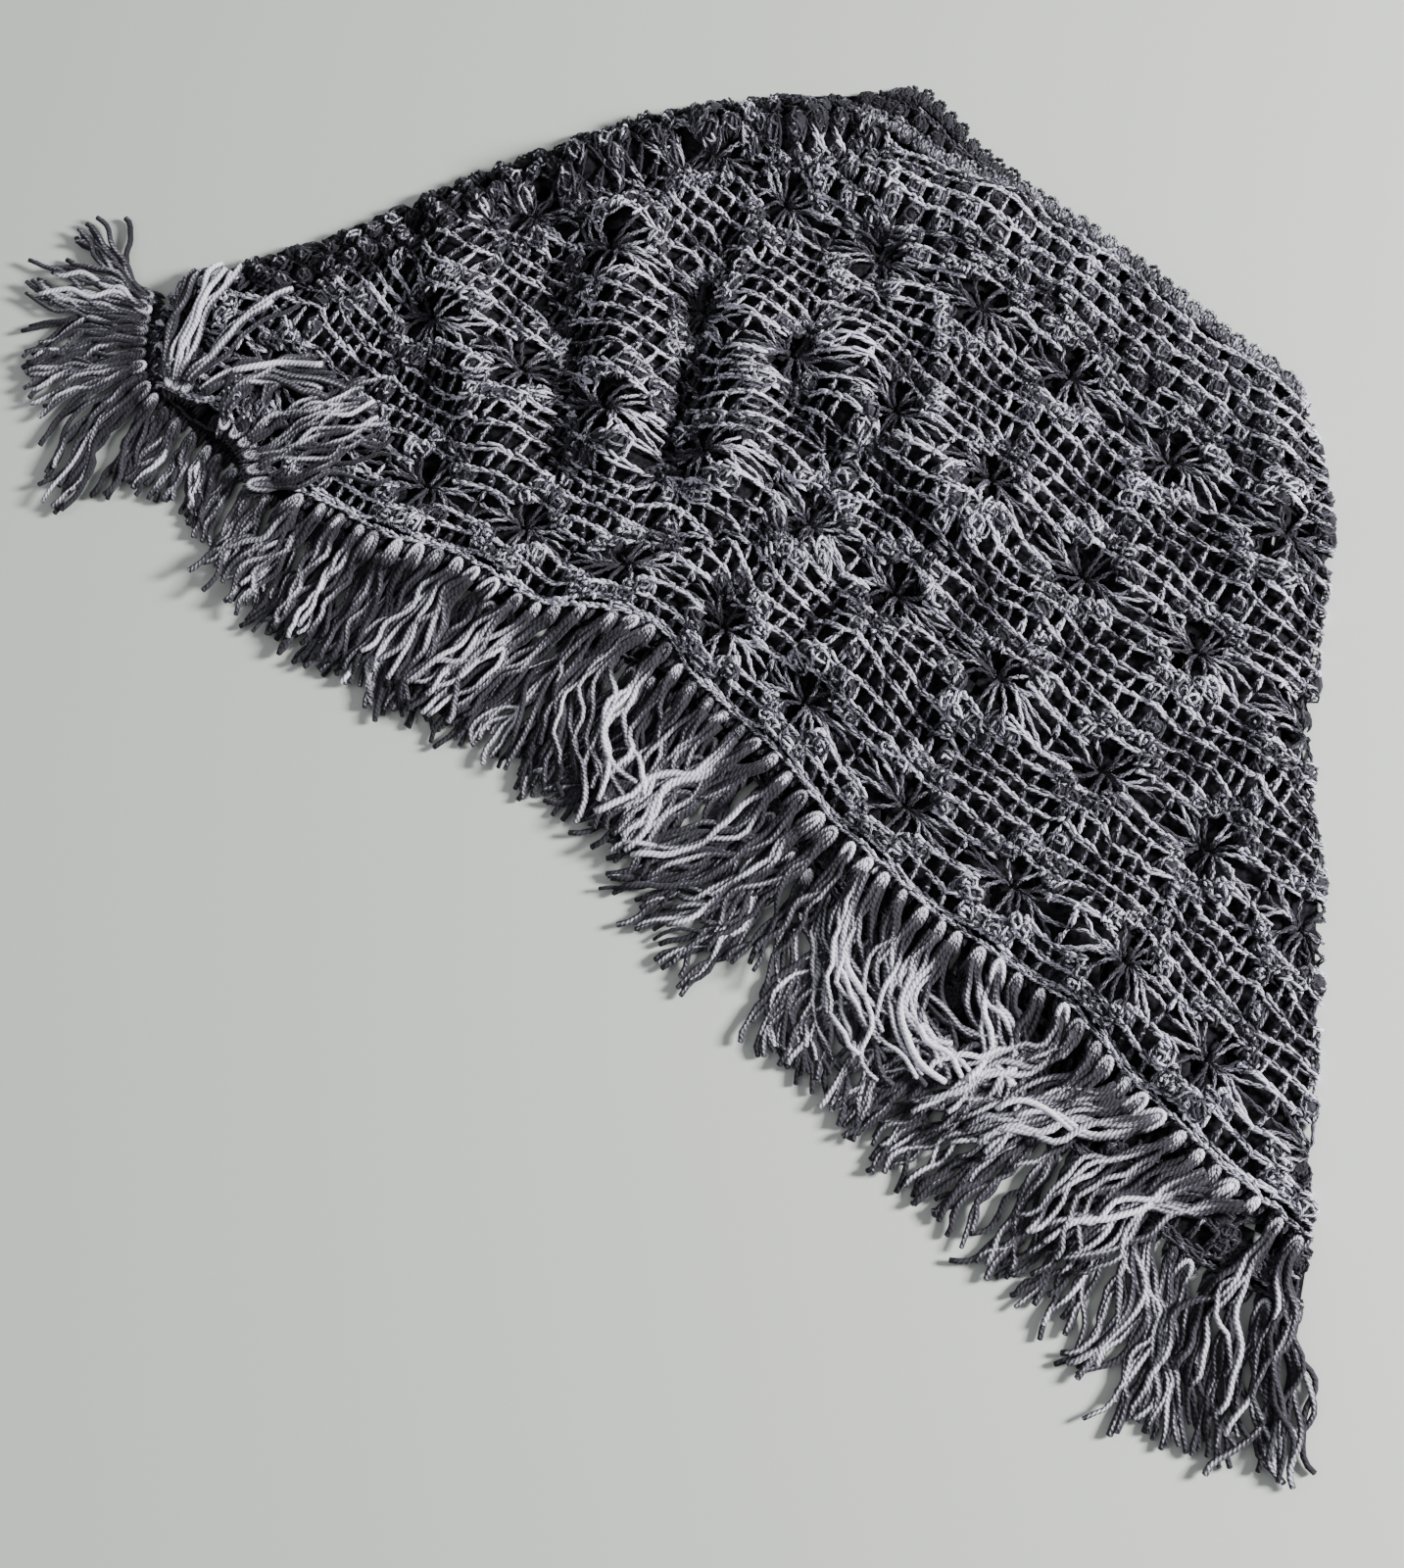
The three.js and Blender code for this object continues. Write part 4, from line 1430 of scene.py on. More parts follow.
    def _leg_way(
        self, centre: np.ndarray, end: np.ndarray, across: int, up: int, share: np.ndarray
    ) -> np.ndarray:
        """Gives the bent way of one leg of every star, gathered near the row at the centre.

        Args:
            centre: each star's centre.
            end: where its leg ends.
            across: columns from centre to end.
            up: rows from centre to end.
            share: places along the leg.

        Returns:
            Points by star and place.
        """
        start = centre + np.array([0.9 * across, 0.25 * up, 0.0])
        hug = np.array([across * 0.55 * MESH_U, up * 0.18 * MESH_V, 0.0])
        if abs(across) < abs(up):
            hug = np.array([across * 0.2 * MESH_U, up * 0.45 * MESH_V, 0.0])
        bend = centre + hug + 2.0 * self.chance.standard_normal(centre.shape)
        s = share[None, :, None]
        way = (1 - s) ** 2 * start[:, None] + 2 * s * (1 - s) * bend[:, None]
        way = way + s**2 * end[:, None]
        way[..., 2] = -0.8 * (1 - share) ** 2 + 1.5 * np.sin(math.pi * share) + 0.9 * share
        wander = 1.3 * np.sin(5.0 * share + 6.3 * self.chance.random((len(way), 1)))
        way[..., 1] += wander * np.sin(math.pi * share)
        return way


@dataclass
class ShadeSheet:
    """A dark sheet of painted shade under a half's top stitches, open in the stars, so that the
    gaps between the stitches read as shade.

    Attributes:
        half: the half that it belongs to.
        name: the piece's name.
        drop: how far it lies under the middle of the cloth.
        thickness: its thickness.
        columns: cells of its grid along the rows.
        rows: cells of its grid from hem to neck.
    """

    half: Half
    name: str
    drop: float
    thickness: float = 0.5
    columns: int = 150
    rows: int = 72

    def make(self) -> bpy.types.Object:
        """Shapes a grid over the half, opens the gaps of its stars and gives it its thickness.

        Returns:
            The finished object.
        """
        bpy.ops.object.select_all(action="DESELECT")
        bpy.ops.mesh.primitive_grid_add(
            x_subdivisions=self.columns, y_subdivisions=self.rows, size=1
        )
        made = bpy.context.active_object
        made.name = self.name
        made.data.name = self.name
        co = np.array([v.co for v in made.data.vertices])
        v = (co[:, 1] + 0.5) * NECK_TO_HEM
        share = co[:, 0] + 0.5
        left, right = self.half.left.at(v) + 1.5, self.half.right.at(v) - 1.5
        u = self.half.column_at(left + (right - left) * share)
        at, _ = self.half.lay(u, v, np.full_like(u, -self.drop))
        at = framed(at)
        at[:, 2] = np.maximum(at[:, 2], 0.0004 + self.thickness * MM)
        made.data.vertices.foreach_set("co", at.astype(np.float32).ravel())
        made.data.update()
        self._open_stars(made, u, v)
        bpy.ops.object.modifier_add(type="SOLIDIFY")
        made.modifiers[-1].thickness = self.thickness * MM
        made.modifiers[-1].offset = -1.0
        bpy.ops.object.modifier_apply(modifier=made.modifiers[-1].name)
        bpy.ops.object.shade_smooth()
        LOG.info("%s: %d faces", self.name, len(made.data.polygons))
        return made

    def _open_stars(self, made: bpy.types.Object, u: np.ndarray, v: np.ndarray) -> None:
        """Deletes the sheet in the gaps of the stars, in edit mode.

        Args:
            made: the shaped grid.
            u: each corner's place along the rows of the flat pattern.
            v: each corner's height above the hem of the flat pattern.
        """
        across = (u - STAR_U) / MESH_U
        up = (v - STAR_V) / MESH_V
        across -= REPEAT * np.rint(across / REPEAT)
        up -= REPEAT * np.rint(up / REPEAT)
        reach = np.abs(across) + np.abs(up)
        gap = (reach < 2.1) & (reach > 0.7) & (v < STAR_V + MESH_V * (YOKE_ROW - 4))
        flags = np.zeros(len(made.data.polygons), bool)
        for face in made.data.polygons:
            flags[face.index] = all(gap[i] for i in face.vertices)
        bpy.ops.object.mode_set(mode="EDIT")
        bpy.ops.mesh.select_mode(type="FACE")
        bpy.ops.mesh.select_all(action="DESELECT")
        bpy.ops.object.mode_set(mode="OBJECT")
        made.data.polygons.foreach_set("select", flags)
        bpy.ops.object.mode_set(mode="EDIT")
        bpy.ops.mesh.delete(type="FACE")
        bpy.ops.object.mode_set(mode="OBJECT")


@dataclass
class NeckShells:
    """Shell edging along one neck edge: fans of strands with a chain round each.

    Attributes:
        half: the half that carries it.
        units: the lengths of yarn.
        seed: seeds the small differences.
        pitch: width of a shell.
        depth: how far a shell stands out from the neck edge.
        spokes: strands in a shell.
        rim: links of chain round a shell.
        shade: how much lighter its yarn is painted; a negative value is painted shade.
    """

    half: Half
    units: Units
    seed: int
    pitch: float = 8.4
    depth: float = 7.6
    spokes: int = 6
    rim: int = 7
    shade: float = 0.0

    def build(self, work: YarnWork) -> None:
        """Lays the shells.

        Args:
            work: the piece that takes them.
        """
        chance = np.random.default_rng(self.seed)
        left = float(self.half.left.at(np.array([NECK_TO_HEM]))[0])
        right = float(self.half.right.at(np.array([NECK_TO_HEM]))[0])
        count = round((right - left) / self.pitch)
        centres = left + (np.arange(count) + 0.5) * (right - left) / count
        centre_u = self.half.column_at(centres) + 0.4 * chance.standard_normal(count)
        share = np.linspace(0, 1, 5)
        reach = self.depth * (1 + 0.08 * chance.standard_normal(count))
        for spoke in range(self.spokes):
            angle = math.radians(-72 + 144 * spoke / (self.spokes - 1))
            way = np.zeros((count, 5, 3))
            way[..., 0] = centre_u[:, None] + reach[:, None] * 0.72 * math.sin(angle) * share
            way[..., 1] = NECK_TO_HEM - 1.5 + reach[:, None] * math.cos(angle) * share + share
            stray = 0.2 * chance.standard_normal((count, 1))
            way[..., 2] = 0.4 + 1.5 * np.sin(math.pi * share) + stray
            laid, out = self.half.lay(way[..., 0], way[..., 1], way[..., 2])
            size = np.array([0, 0.95, 1.2, 1.15, 0])
            tone = 0.55 + self.shade
            work.add(self.units.arc, laid, out, size, tone, 1.0, way[..., 2], (-0.6, 3.0))
        for bead in range(self.rim):
            low = -82 + 164 * (bead - 0.15) / self.rim
            high = -82 + 164 * (bead + 1.2) / self.rim
            angle = np.radians(np.array([low, (2 * low + high) / 3, (low + 2 * high) / 3, high]))
            way = np.zeros((count, 4, 3))
            way[..., 0] = centre_u[:, None] + reach[:, None] * 0.66 * np.sin(angle)
            way[..., 1] = NECK_TO_HEM - 0.5 + reach[:, None] * np.cos(angle)
            way[..., 2] = 1.3 + 0.4 * chance.standard_normal((count, 1))
            laid, out = self.half.lay(way[..., 0], way[..., 1], way[..., 2])
            size = np.array([0, 1.3, 1.05, 0])
            tone = 0.72 + self.shade
            work.add(self.units.bead, laid, out, size, tone, 1.0, way[..., 2], (-0.6, 2.6))


@dataclass(frozen=True)
class Under:
    """What fringe lies on: a level floor of yarn, or a half of the poncho.

    Attributes:
        level: height of the yarn's middle where it rests.
        half: the half that it lies over, or None.
        stitches: how far the stitches of that half stand up from the middle of its cloth.
    """

    level: float
    half: Half | None = None
    stitches: float = 4.4

    def at(self, x: np.ndarray, y: np.ndarray) -> np.ndarray:
        """Gives the height at which the yarn's middle rests.

        Args:
            x: places along the rows.
            y: places from hem to neck.

        Returns:
            The height at each place.
        """
        rest = np.full_like(x, self.level)
        if self.half is None:
            return rest
        hem, neck = self.half.hem.at(x), self.half.neck.at(x)
        v = (y - hem) / (neck - hem) * NECK_TO_HEM
        past, _ = self.half.outside(x, v)
        over = smooth((6.0 - past) / 8.0) * smooth((v + 6.0) / 8.0)
        top = self.half.level + self.half.lift_at(x, y, v) + self.stitches
        return rest + over * np.maximum(0.0, top - rest)


@dataclass(frozen=True)
class Guide:
    """How the fringe lies at one place.

    Attributes:
        x: place along the rows.
        length: length of the fringe.
        headings: the way it takes, in degrees from straight down and rising towards +X, at equal
            steps from the hem to its end.
        y: place from hem to neck, where it doesn't leave from a hem.
        light: how much lighter its yarn is than the rest.
    """

    x: float
    length: float
    headings: tuple[float, float, float, float]
    y: float = 0.0
    light: float = 0.0


# Fringe along the hems, round the left tip, and thrown back over the front in two bunches
FRONT_GUIDES: tuple[Guide, ...] = (
    Guide(-234, 60, (0, 2, 6, 8)),
    Guide(-187, 62, (1, 2, 8, 8)),
    Guide(-158, 66, (-8, 0, 12, 10), light=-0.06),
    Guide(-127, 68, (-10, -8, -2, 4)),
    Guide(-115, 70, (-5, -12, -28, -20)),
    Guide(-88, 72, (-16, -20, -42, -30)),
    Guide(-82, 78, (-21, -4, 12, 16)),
    Guide(-60, 90, (-24, -2, 32, 46)),
    Guide(-46, 86, (-24, 20, 50, 42)),
    Guide(-24, 76, (8, 2, -8, -10), light=-0.1),
    Guide(1, 76, (-2, -6, -16, -12), light=-0.12),
    Guide(26, 80, (-45, -14, 8, 14)),
    Guide(42, 80, (2, -28, -54, -60)),
    Guide(62, 76, (-26, 2, -12, -46)),
    Guide(79, 66, (0, 12, 4, 12), light=0.12),
    Guide(92, 92, (4, 45, 70, 72), light=0.26),
    Guide(112, 80, (9, 38, 62, 78), light=0.3),
    Guide(131, 78, (-9, 34, 66, 100), light=0.3),
    Guide(149, 62, (5, 48, 70, 70), light=0.28),
    Guide(160, 58, (40, 45, 27, 10), light=0.25),
    Guide(174, 58, (13, 50, 40, 10), light=0.1),
    Guide(190, 74, (20, -26, -26, -22)),
    Guide(218, 76, (14, -28, -24, -20)),
    Guide(251, 72, (-46, -40, -28, -24)),
    Guide(263, 72, (-37, -35, -18, -13), light=0.1),
    Guide(281, 76, (-23, -28, -24, -20), light=0.14),
    Guide(306, 86, (-50, -57, -24, -14), light=0.16),
    Guide(315, 80, (-10, 5, 12, 14), light=-0.1),
    Guide(325, 80, (2, 27, 22, 26), light=-0.2),
    Guide(333, 82, (38, 40, 34, 28), light=-0.2),
)
BACK_GUIDES: tuple[Guide, ...] = (
    Guide(-326, 40, (8, 6, 0, -4)),
    Guide(-286, 34, (6, 20, 30, 40)),
    Guide(-236, 46, (10, 14, 24, 30)),
    Guide(-190, 64, (6, 10, -12, -30)),
    Guide(-150, 66, (8, 4, 30, 44)),
    Guide(-100, 62, (0, -12, -20, 10)),
    Guide(-50, 72, (10, -8, -14, 20)),
    Guide(0, 74, (8, -16, -34, -40)),
    Guide(60, 82, (-4, 8, -10, -22)),
    Guide(84, 70, (20, 50, 85, 60)),
    Guide(112, 68, (-14, -30, 10, 60)),
    Guide(150, 60, (-12, -16, -5, 20)),
    Guide(196, 60, (-10, -16, -20, -14)),
    Guide(250, 58, (24, 12, 2, -8)),
    Guide(282, 76, (26, 32, 12, -4)),
    Guide(305, 70, (18, 25, 18, 24)),
    Guide(326, 66, (26, 34, 56, 70)),
    Guide(346, 76, (46, 42, 36, 28)),
)
TIP_GUIDES: tuple[Guide, ...] = (
    Guide(-369, 52, (-78, -108, -100, -92), -137),
    Guide(-366, 54, (-82, -90, -70, -60), -141),
    Guide(-362, 62, (-74, -56, -62, -78), -147),
    Guide(-357, 60, (-62, -50, -20, -10), -154),
    Guide(-352, 58, (-44, -56, -60, -40), -162),
    Guide(-345, 58, (-40, -30, -2, 4), -169),
    Guide(-338, 74, (-16, 0, 6, 2), -175),
    Guide(-328, 50, (-5, 8, 6, -10), -178),
)
UP_GUIDES: tuple[Guide, ...] = (
    Guide(-326, 60, (226, 216, 208, 204), -164),
    Guide(-321, 64, (206, 196, 190, 184), -163),
    Guide(-315, 66, (182, 168, 162, 156), -161),
    Guide(-305, 66, (166, 140, 122, 116), -161),
)
OVER_GUIDES: tuple[Guide, ...] = (
    Guide(-287, 56, (214, 160, 118, 110), -165),
    Guide(-276, 60, (165, 180, 136, 126), -165),
    Guide(-267, 64, (146, 148, 134, 130), -167),
    Guide(-259, 66, (145, 138, 130, 122), -173),
    Guide(-252, 66, (138, 141, 128, 124), -180),
)


@dataclass
class Fringe:
    """Fringe of knotted tufts: each is folded yarn looped over the hem, with loose ends.

    Attributes:
        units: the lengths of yarn.
        seed: seeds the small differences.
        spacing: distance from tuft to tuft along a hem.
        ends: loose ends in a tuft.
        radius: radius of a loose end.
        unrest: how many degrees tufts stray from their guides.
        wave: how wavy the loose ends are, as a share of the usual.
    """

    units: Units
    seed: int
    spacing: float = 10.4
    ends: int = 6
    radius: float = 1.34
    unrest: float = 9.0
    wave: float = 1.0

    def __post_init__(self) -> None:
        """Prepares the chance for small differences."""
        self.chance = np.random.default_rng(self.seed)

    def _read(self, guides: tuple[Guide, ...], place: np.ndarray) -> dict[str, np.ndarray]:
        """Reads a row of guides between and at its members.

        Args:
            guides: the guides.
            place: where to read them, in steps from the first.

        Returns:
            The x, y, length, light and headings of each tuft.
        """
        steps = np.arange(len(guides))
        table = np.array([g.headings for g in guides], float)
        return {
            "x": np.interp(place, steps, [g.x for g in guides]),
            "y": np.interp(place, steps, [g.y for g in guides]),
            "length": np.interp(place, steps, [g.length for g in guides]),
            "light": np.interp(place, steps, [g.light for g in guides]),
            "headings": np.stack([np.interp(place, steps, column) for column in table.T], axis=1),
        }

    def _wave(self, count: int, share: np.ndarray, size: float, turns: float) -> np.ndarray:
        """Gives uneven waves along strands.

        Args:
            count: number of strands.
            share: places along a strand.
            size: usual height of the wave.
            turns: usual number of waves along a strand.

        Returns:
            The waves by strand and place.
        """
        chance = self.chance
        high = self.wave * size * (0.4 + 1.2 * chance.random((count, 1)))
        often = turns * (0.6 + 0.8 * chance.random((count, 1)))
        return high * np.sin(2 * math.pi * (often * share + chance.random((count, 1))))

    def strands(
        self,
        work: YarnWork,
        roots: np.ndarray,
        lengths: np.ndarray,
        headings: np.ndarray,
        under: Under,
        pile: float,
        tone: float | np.ndarray,
    ) -> None:
        """Lays the loose ends of tufts, each along its own wavy way.

        Args:
            work: the piece that takes them.
            roots: each tuft's knot.
            lengths: each tuft's length.
            headings: each tuft's four headings in degrees.
            under: what the strands lie on.
            pile: how deep they lie over each other.
            tone: how light the yarn is.
        """
        chance = self.chance
        unit = self.units.strand
        count = len(roots)
        share = np.linspace(0, 1, unit.stations - 2)
        share = np.concatenate(([-0.006], share, [1.006]))
        gaps = np.diff(share, prepend=share[0])
        steps = np.array([0.04, 0.36, 0.68, 1.0])
        base = np.stack([np.interp(share, steps, row) for row in headings])
        tuft = self.unrest * chance.standard_normal((count, 1)) * smooth(share * 2.5)
        tuft = tuft + self._wave(count, share, 9.0, 1.1)
        shade = 0.2 * chance.standard_normal(count)
        lift = chance.random((count, 1))
        first = np.radians(headings[:, :1])
        for end in range(self.ends):
            place = (end - (self.ends - 1) / 2) / (self.ends / 2)
            own = 5.0 * place + 8.0 * chance.standard_normal((count, 1))
            course = base + tuft + own * smooth(share * 2.0)
            course = course + self._wave(count, share, 21.0, 1.7) * smooth(share * 3.0)
            course = course + self._wave(count, share, 12.0, 4.0) * smooth(share * 5.0)
            course = np.radians(course)
            long = lengths[:, None] * (1 + 0.07 * chance.standard_normal((count, 1)))
            out_x = np.cumsum(np.sin(course) * gaps * long, axis=1)
            out_y = np.cumsum(np.cos(course) * gaps * long, axis=1)
            aside = 3.0 * place + 0.4 * chance.standard_normal((count, 1))
            aside = aside * (0.72 + 0.28 * smooth(share * 4.0)[None, :])
            way = np.zeros((count, unit.stations, 3))
            way[..., 0] = roots[:, :1] + np.cos(first) * aside + out_x
            way[..., 1] = roots[:, 1:2] + np.sin(first) * aside - out_y
            layer = pile * (0.45 * lift + 0.55 * chance.random((count, 1)))
            layer = layer * (0.35 + 0.65 * smooth(share * 3.0))
            layer = layer + 0.7 * self._wave(count, share, 1.0, 1.6) + 0.5
            rest = under.at(way[..., 0], way[..., 1])
            floor = roots[:, 2:] + (rest - roots[:, 2:]) * smooth(share * 2.4)
            way[..., 2] = np.maximum(floor + layer, rest + 0.1)
            out = np.zeros_like(way)
            out[..., 2] = 1.0
            thick = self.radius * (1 + 0.1 * chance.standard_normal((count, 1)))
            taper = np.ones(unit.stations)
            taper[[0, -1]] = 0.0
            taper[-2] = 0.92
            light = tone + shade + 0.12 * chance.standard_normal(count)
            # Painted shade: strands low in the pile are painted darker and those on top lighter.
            span = (0.2, 0.6 * pile + 1.5)
            work.add(unit, way, out, thick * taper, light, 1.0, 0.7 * layer, span)

    def knots(
        self,
        work: YarnWork,
        roots: np.ndarray,
        headings: np.ndarray,
        tone: float | np.ndarray = 0.8,
    ) -> None:
        """Lays each tuft's looped head, and the short stems that tie it to the hem, painted dark
        as shade.

        Args:
            work: the piece that takes them.
            roots: where each head passes over the hem.
            headings: the heading in degrees in which each tuft leaves the hem.
            tone: how light the yarn is.
        """
        chance = self.chance
        unit = self.units.loop
        count = len(roots)
        share = np.linspace(0, 1, unit.stations)
        angle = math.pi * share
        turn = np.radians(headings + 9.0 * chance.standard_normal(count))
        ahead = np.stack([np.sin(turn), -np.cos(turn)], axis=1)
        aside = np.stack([np.cos(turn), np.sin(turn)], axis=1)
        out = np.zeros((count, unit.stations, 3))
        out[..., 2] = 1.0
        radii = np.full(unit.stations, 1.3)
        radii[[0, -1]] = 0.0
        size = 1 + 0.18 * chance.standard_normal((count, 1))
        light = tone + 0.12 + 0.15 * chance.standard_normal(count)
        for ring, (wide, back, forth) in enumerate(((3.1, 1.2, 11.0), (1.1, -0.8, 11.5))):
            wide_now = size * (wide + 0.35 * chance.standard_normal((count, 1)))
            off = wide_now * np.cos(angle) * (0.7 + 0.3 * np.sin(angle))
            run = forth * size - (back + forth * size) * np.sin(angle) ** 0.75
            way = np.zeros((count, unit.stations, 3))
            way[..., 0] = roots[:, :1] + ahead[:, :1] * run + aside[:, :1] * off
            way[..., 1] = roots[:, 1:2] + ahead[:, 1:] * run + aside[:, 1:] * off
            stray = 0.3 * chance.standard_normal((count, 1))
            rise = 1.2 - 0.35 * ring + 1.8 * np.sin(angle) + stray
            way[..., 2] = roots[:, 2:] + rise
            work.add(unit, way, out, radii, light, 1.0, rise, (0.0, 4.2))
        run = np.linspace(-6.0, 4.0, self.units.bead.stations)
        for off in (-3.4, -1.2, 1.2, 3.4):
            way = np.zeros((count, len(run), 3))
            way[..., 0] = roots[:, :1] + ahead[:, :1] * run + aside[:, :1] * off
            way[..., 1] = roots[:, 1:2] + ahead[:, 1:] * run + aside[:, 1:] * off
            way[..., 2] = roots[:, 2:] - 0.6 + 0.4 * chance.standard_normal((count, 1))
            stem = np.zeros_like(way)
            stem[..., 2] = 1.0
            # Painted shade: the stems are dark so that the gap between head and hem reads as
            # shade.
            dark = 0.1 + 0.2 * chance.standard_normal(count)
            work.add(self.units.bead, way, stem, np.array([0, 1.3, 1.3, 0]), dark)

    def along_hem(
        self,
        work: YarnWork,
        half: Half,
        guides: tuple[Guide, ...],
        under: Under,
        pile: float,
        tone: float,
    ) -> None:
        """Knots tufts along the hem of one half.

        Args:
            work: the piece that takes them.
            half: the half whose hem carries them.
            guides: how they lie.
            under: what they lie on.
            pile: how deep they lie over each other.
            tone: how light their yarn is.
        """
        first, last = guides[0].x, guides[-1].x
        count = round((last - first) / self.spacing)
        x = first + (np.arange(count) + 0.5) / count * (last - first)
        x = x + 1.0 * self.chance.standard_normal(count)
        place = np.interp(x, [g.x for g in guides], np.arange(len(guides)))
        told = self._read(guides, place)
        zero = np.zeros_like(x)
        y = half.y_at(x, zero)
        z = half.level + half.lift_at(x, y, zero)
        lean = 0.6 * told["headings"][:, 0]
        turn = np.radians(lean)
        roots = np.stack([x + 7.0 * np.sin(turn), y - 7.0 * np.cos(turn), z], axis=1)
        light = tone + told["light"]
        long = told["length"] - 4.0
        self.strands(work, roots, long, told["headings"], under, pile, light)
        knots = np.stack([x + 3.0 * np.sin(turn), y - 3.0 * np.cos(turn), z], axis=1)
        self.knots(work, knots, lean, light)

    def placed(
        self,
        work: YarnWork,
        guides: tuple[Guide, ...],
        count: int,
        height: float,
        under: Under,
        pile: float,
        tone: float,
    ) -> None:
        """Knots tufts at the guides' own places.

        Args:
            work: the piece that takes them.
            guides: how they lie, with their own Y.
            count: number of tufts.
            height: height of their knots.
            under: what they lie on.
            pile: how deep they lie over each other.
            tone: how light their yarn is.
        """
        told = self._read(guides, np.linspace(0, len(guides) - 1, count))
        roots = np.stack([told["x"], told["y"], np.full(count, height)], axis=1)
        self.strands(work, roots, told["length"], told["headings"], under, pile, tone)
        turn = np.radians(told["headings"][:, 0])
        back = np.stack([-np.sin(turn), np.cos(turn), np.zeros(count)], axis=1)
        self.knots(work, roots + 3.0 * back, told["headings"][:, 0], tone - 0.2)


@dataclass(frozen=True)
class Studio:
    """Plain pale floor, soft studio light and the camera at the photograph's angle.

    Attributes:
        eye: the camera's place.
        right: the way to the right in its picture.
        up: the way up in its picture.
        lens: its focal length in millimetres.
        floor_colour: colour of the floor.
    """

    eye: tuple[float, float, float] = (0.35864, -0.26871, 1.0770)
    right: tuple[float, float, float] = (0.77071742, 0.6211757, -0.14189929)
    up: tuple[float, float, float] = (-0.56895072, 0.77117071, 0.28564106)
    lens: float = 58.5
    floor_colour: Colour = (0.75, 0.785, 0.735)

    def camera(self) -> None:
        """Makes the camera."""
        data = bpy.data.cameras.new("camera")
        data.lens = self.lens
        data.sensor_width = 36.0
        data.clip_start = 0.01
        data.clip_end = 50.0
        made = bpy.data.objects.new("camera", data)
        bpy.context.scene.collection.objects.link(made)
        right, up = Vector(self.right), Vector(self.up)
        back = right.cross(up)
        turn = Matrix((right, up, back)).transposed().to_4x4()
        made.matrix_world = Matrix.Translation(Vector(self.eye)) @ turn
        bpy.context.scene.camera = made

    def floor(self) -> None:
        """Makes the floor, pale and plain with a faint unevenness."""
        bpy.ops.object.select_all(action="DESELECT")
        bpy.ops.mesh.primitive_plane_add(size=8.0)
        floor = bpy.context.active_object
        floor.name = "floor"
        made = bpy.data.materials.new("floor_finish")
        made.use_nodes = True
        made.node_tree.nodes["Principled BSDF"].inputs["Roughness"].default_value = 0.6
        low = tuple(0.97 * c for c in self.floor_colour)
        colour_by(made, noise(made, 3.0, 3.0), ((0.0, low), (1.0, self.floor_colour)))
        floor.data.materials.append(made)

    def lights(self) -> None:
        """Makes a soft key light from the neck's side, a broad fill and an even sky."""
        world = bpy.data.worlds.new("studio")
        bpy.context.scene.world = world
        world.use_nodes = True
        sky = world.node_tree.nodes["Background"]
        sky.inputs["Color"].default_value = (0.93, 0.96, 1.0, 1.0)
        sky.inputs["Strength"].default_value = 0.26
        lamps = (("key", (1.6, 1.2, 1.08), 0.5, 122.0), ("fill", (-0.9, -0.9, 2.2), 1.6, 6.0))
        for name, place, size, power in lamps:
            data = bpy.data.lights.new(name, "AREA")
            data.shape = "SQUARE"
            data.size = size
            data.energy = power
            lamp = bpy.data.objects.new(name, data)
            lamp.location = place
            lamp.rotation_euler = Vector(place).to_track_quat("Z", "Y").to_euler()
            bpy.context.scene.collection.objects.link(lamp)


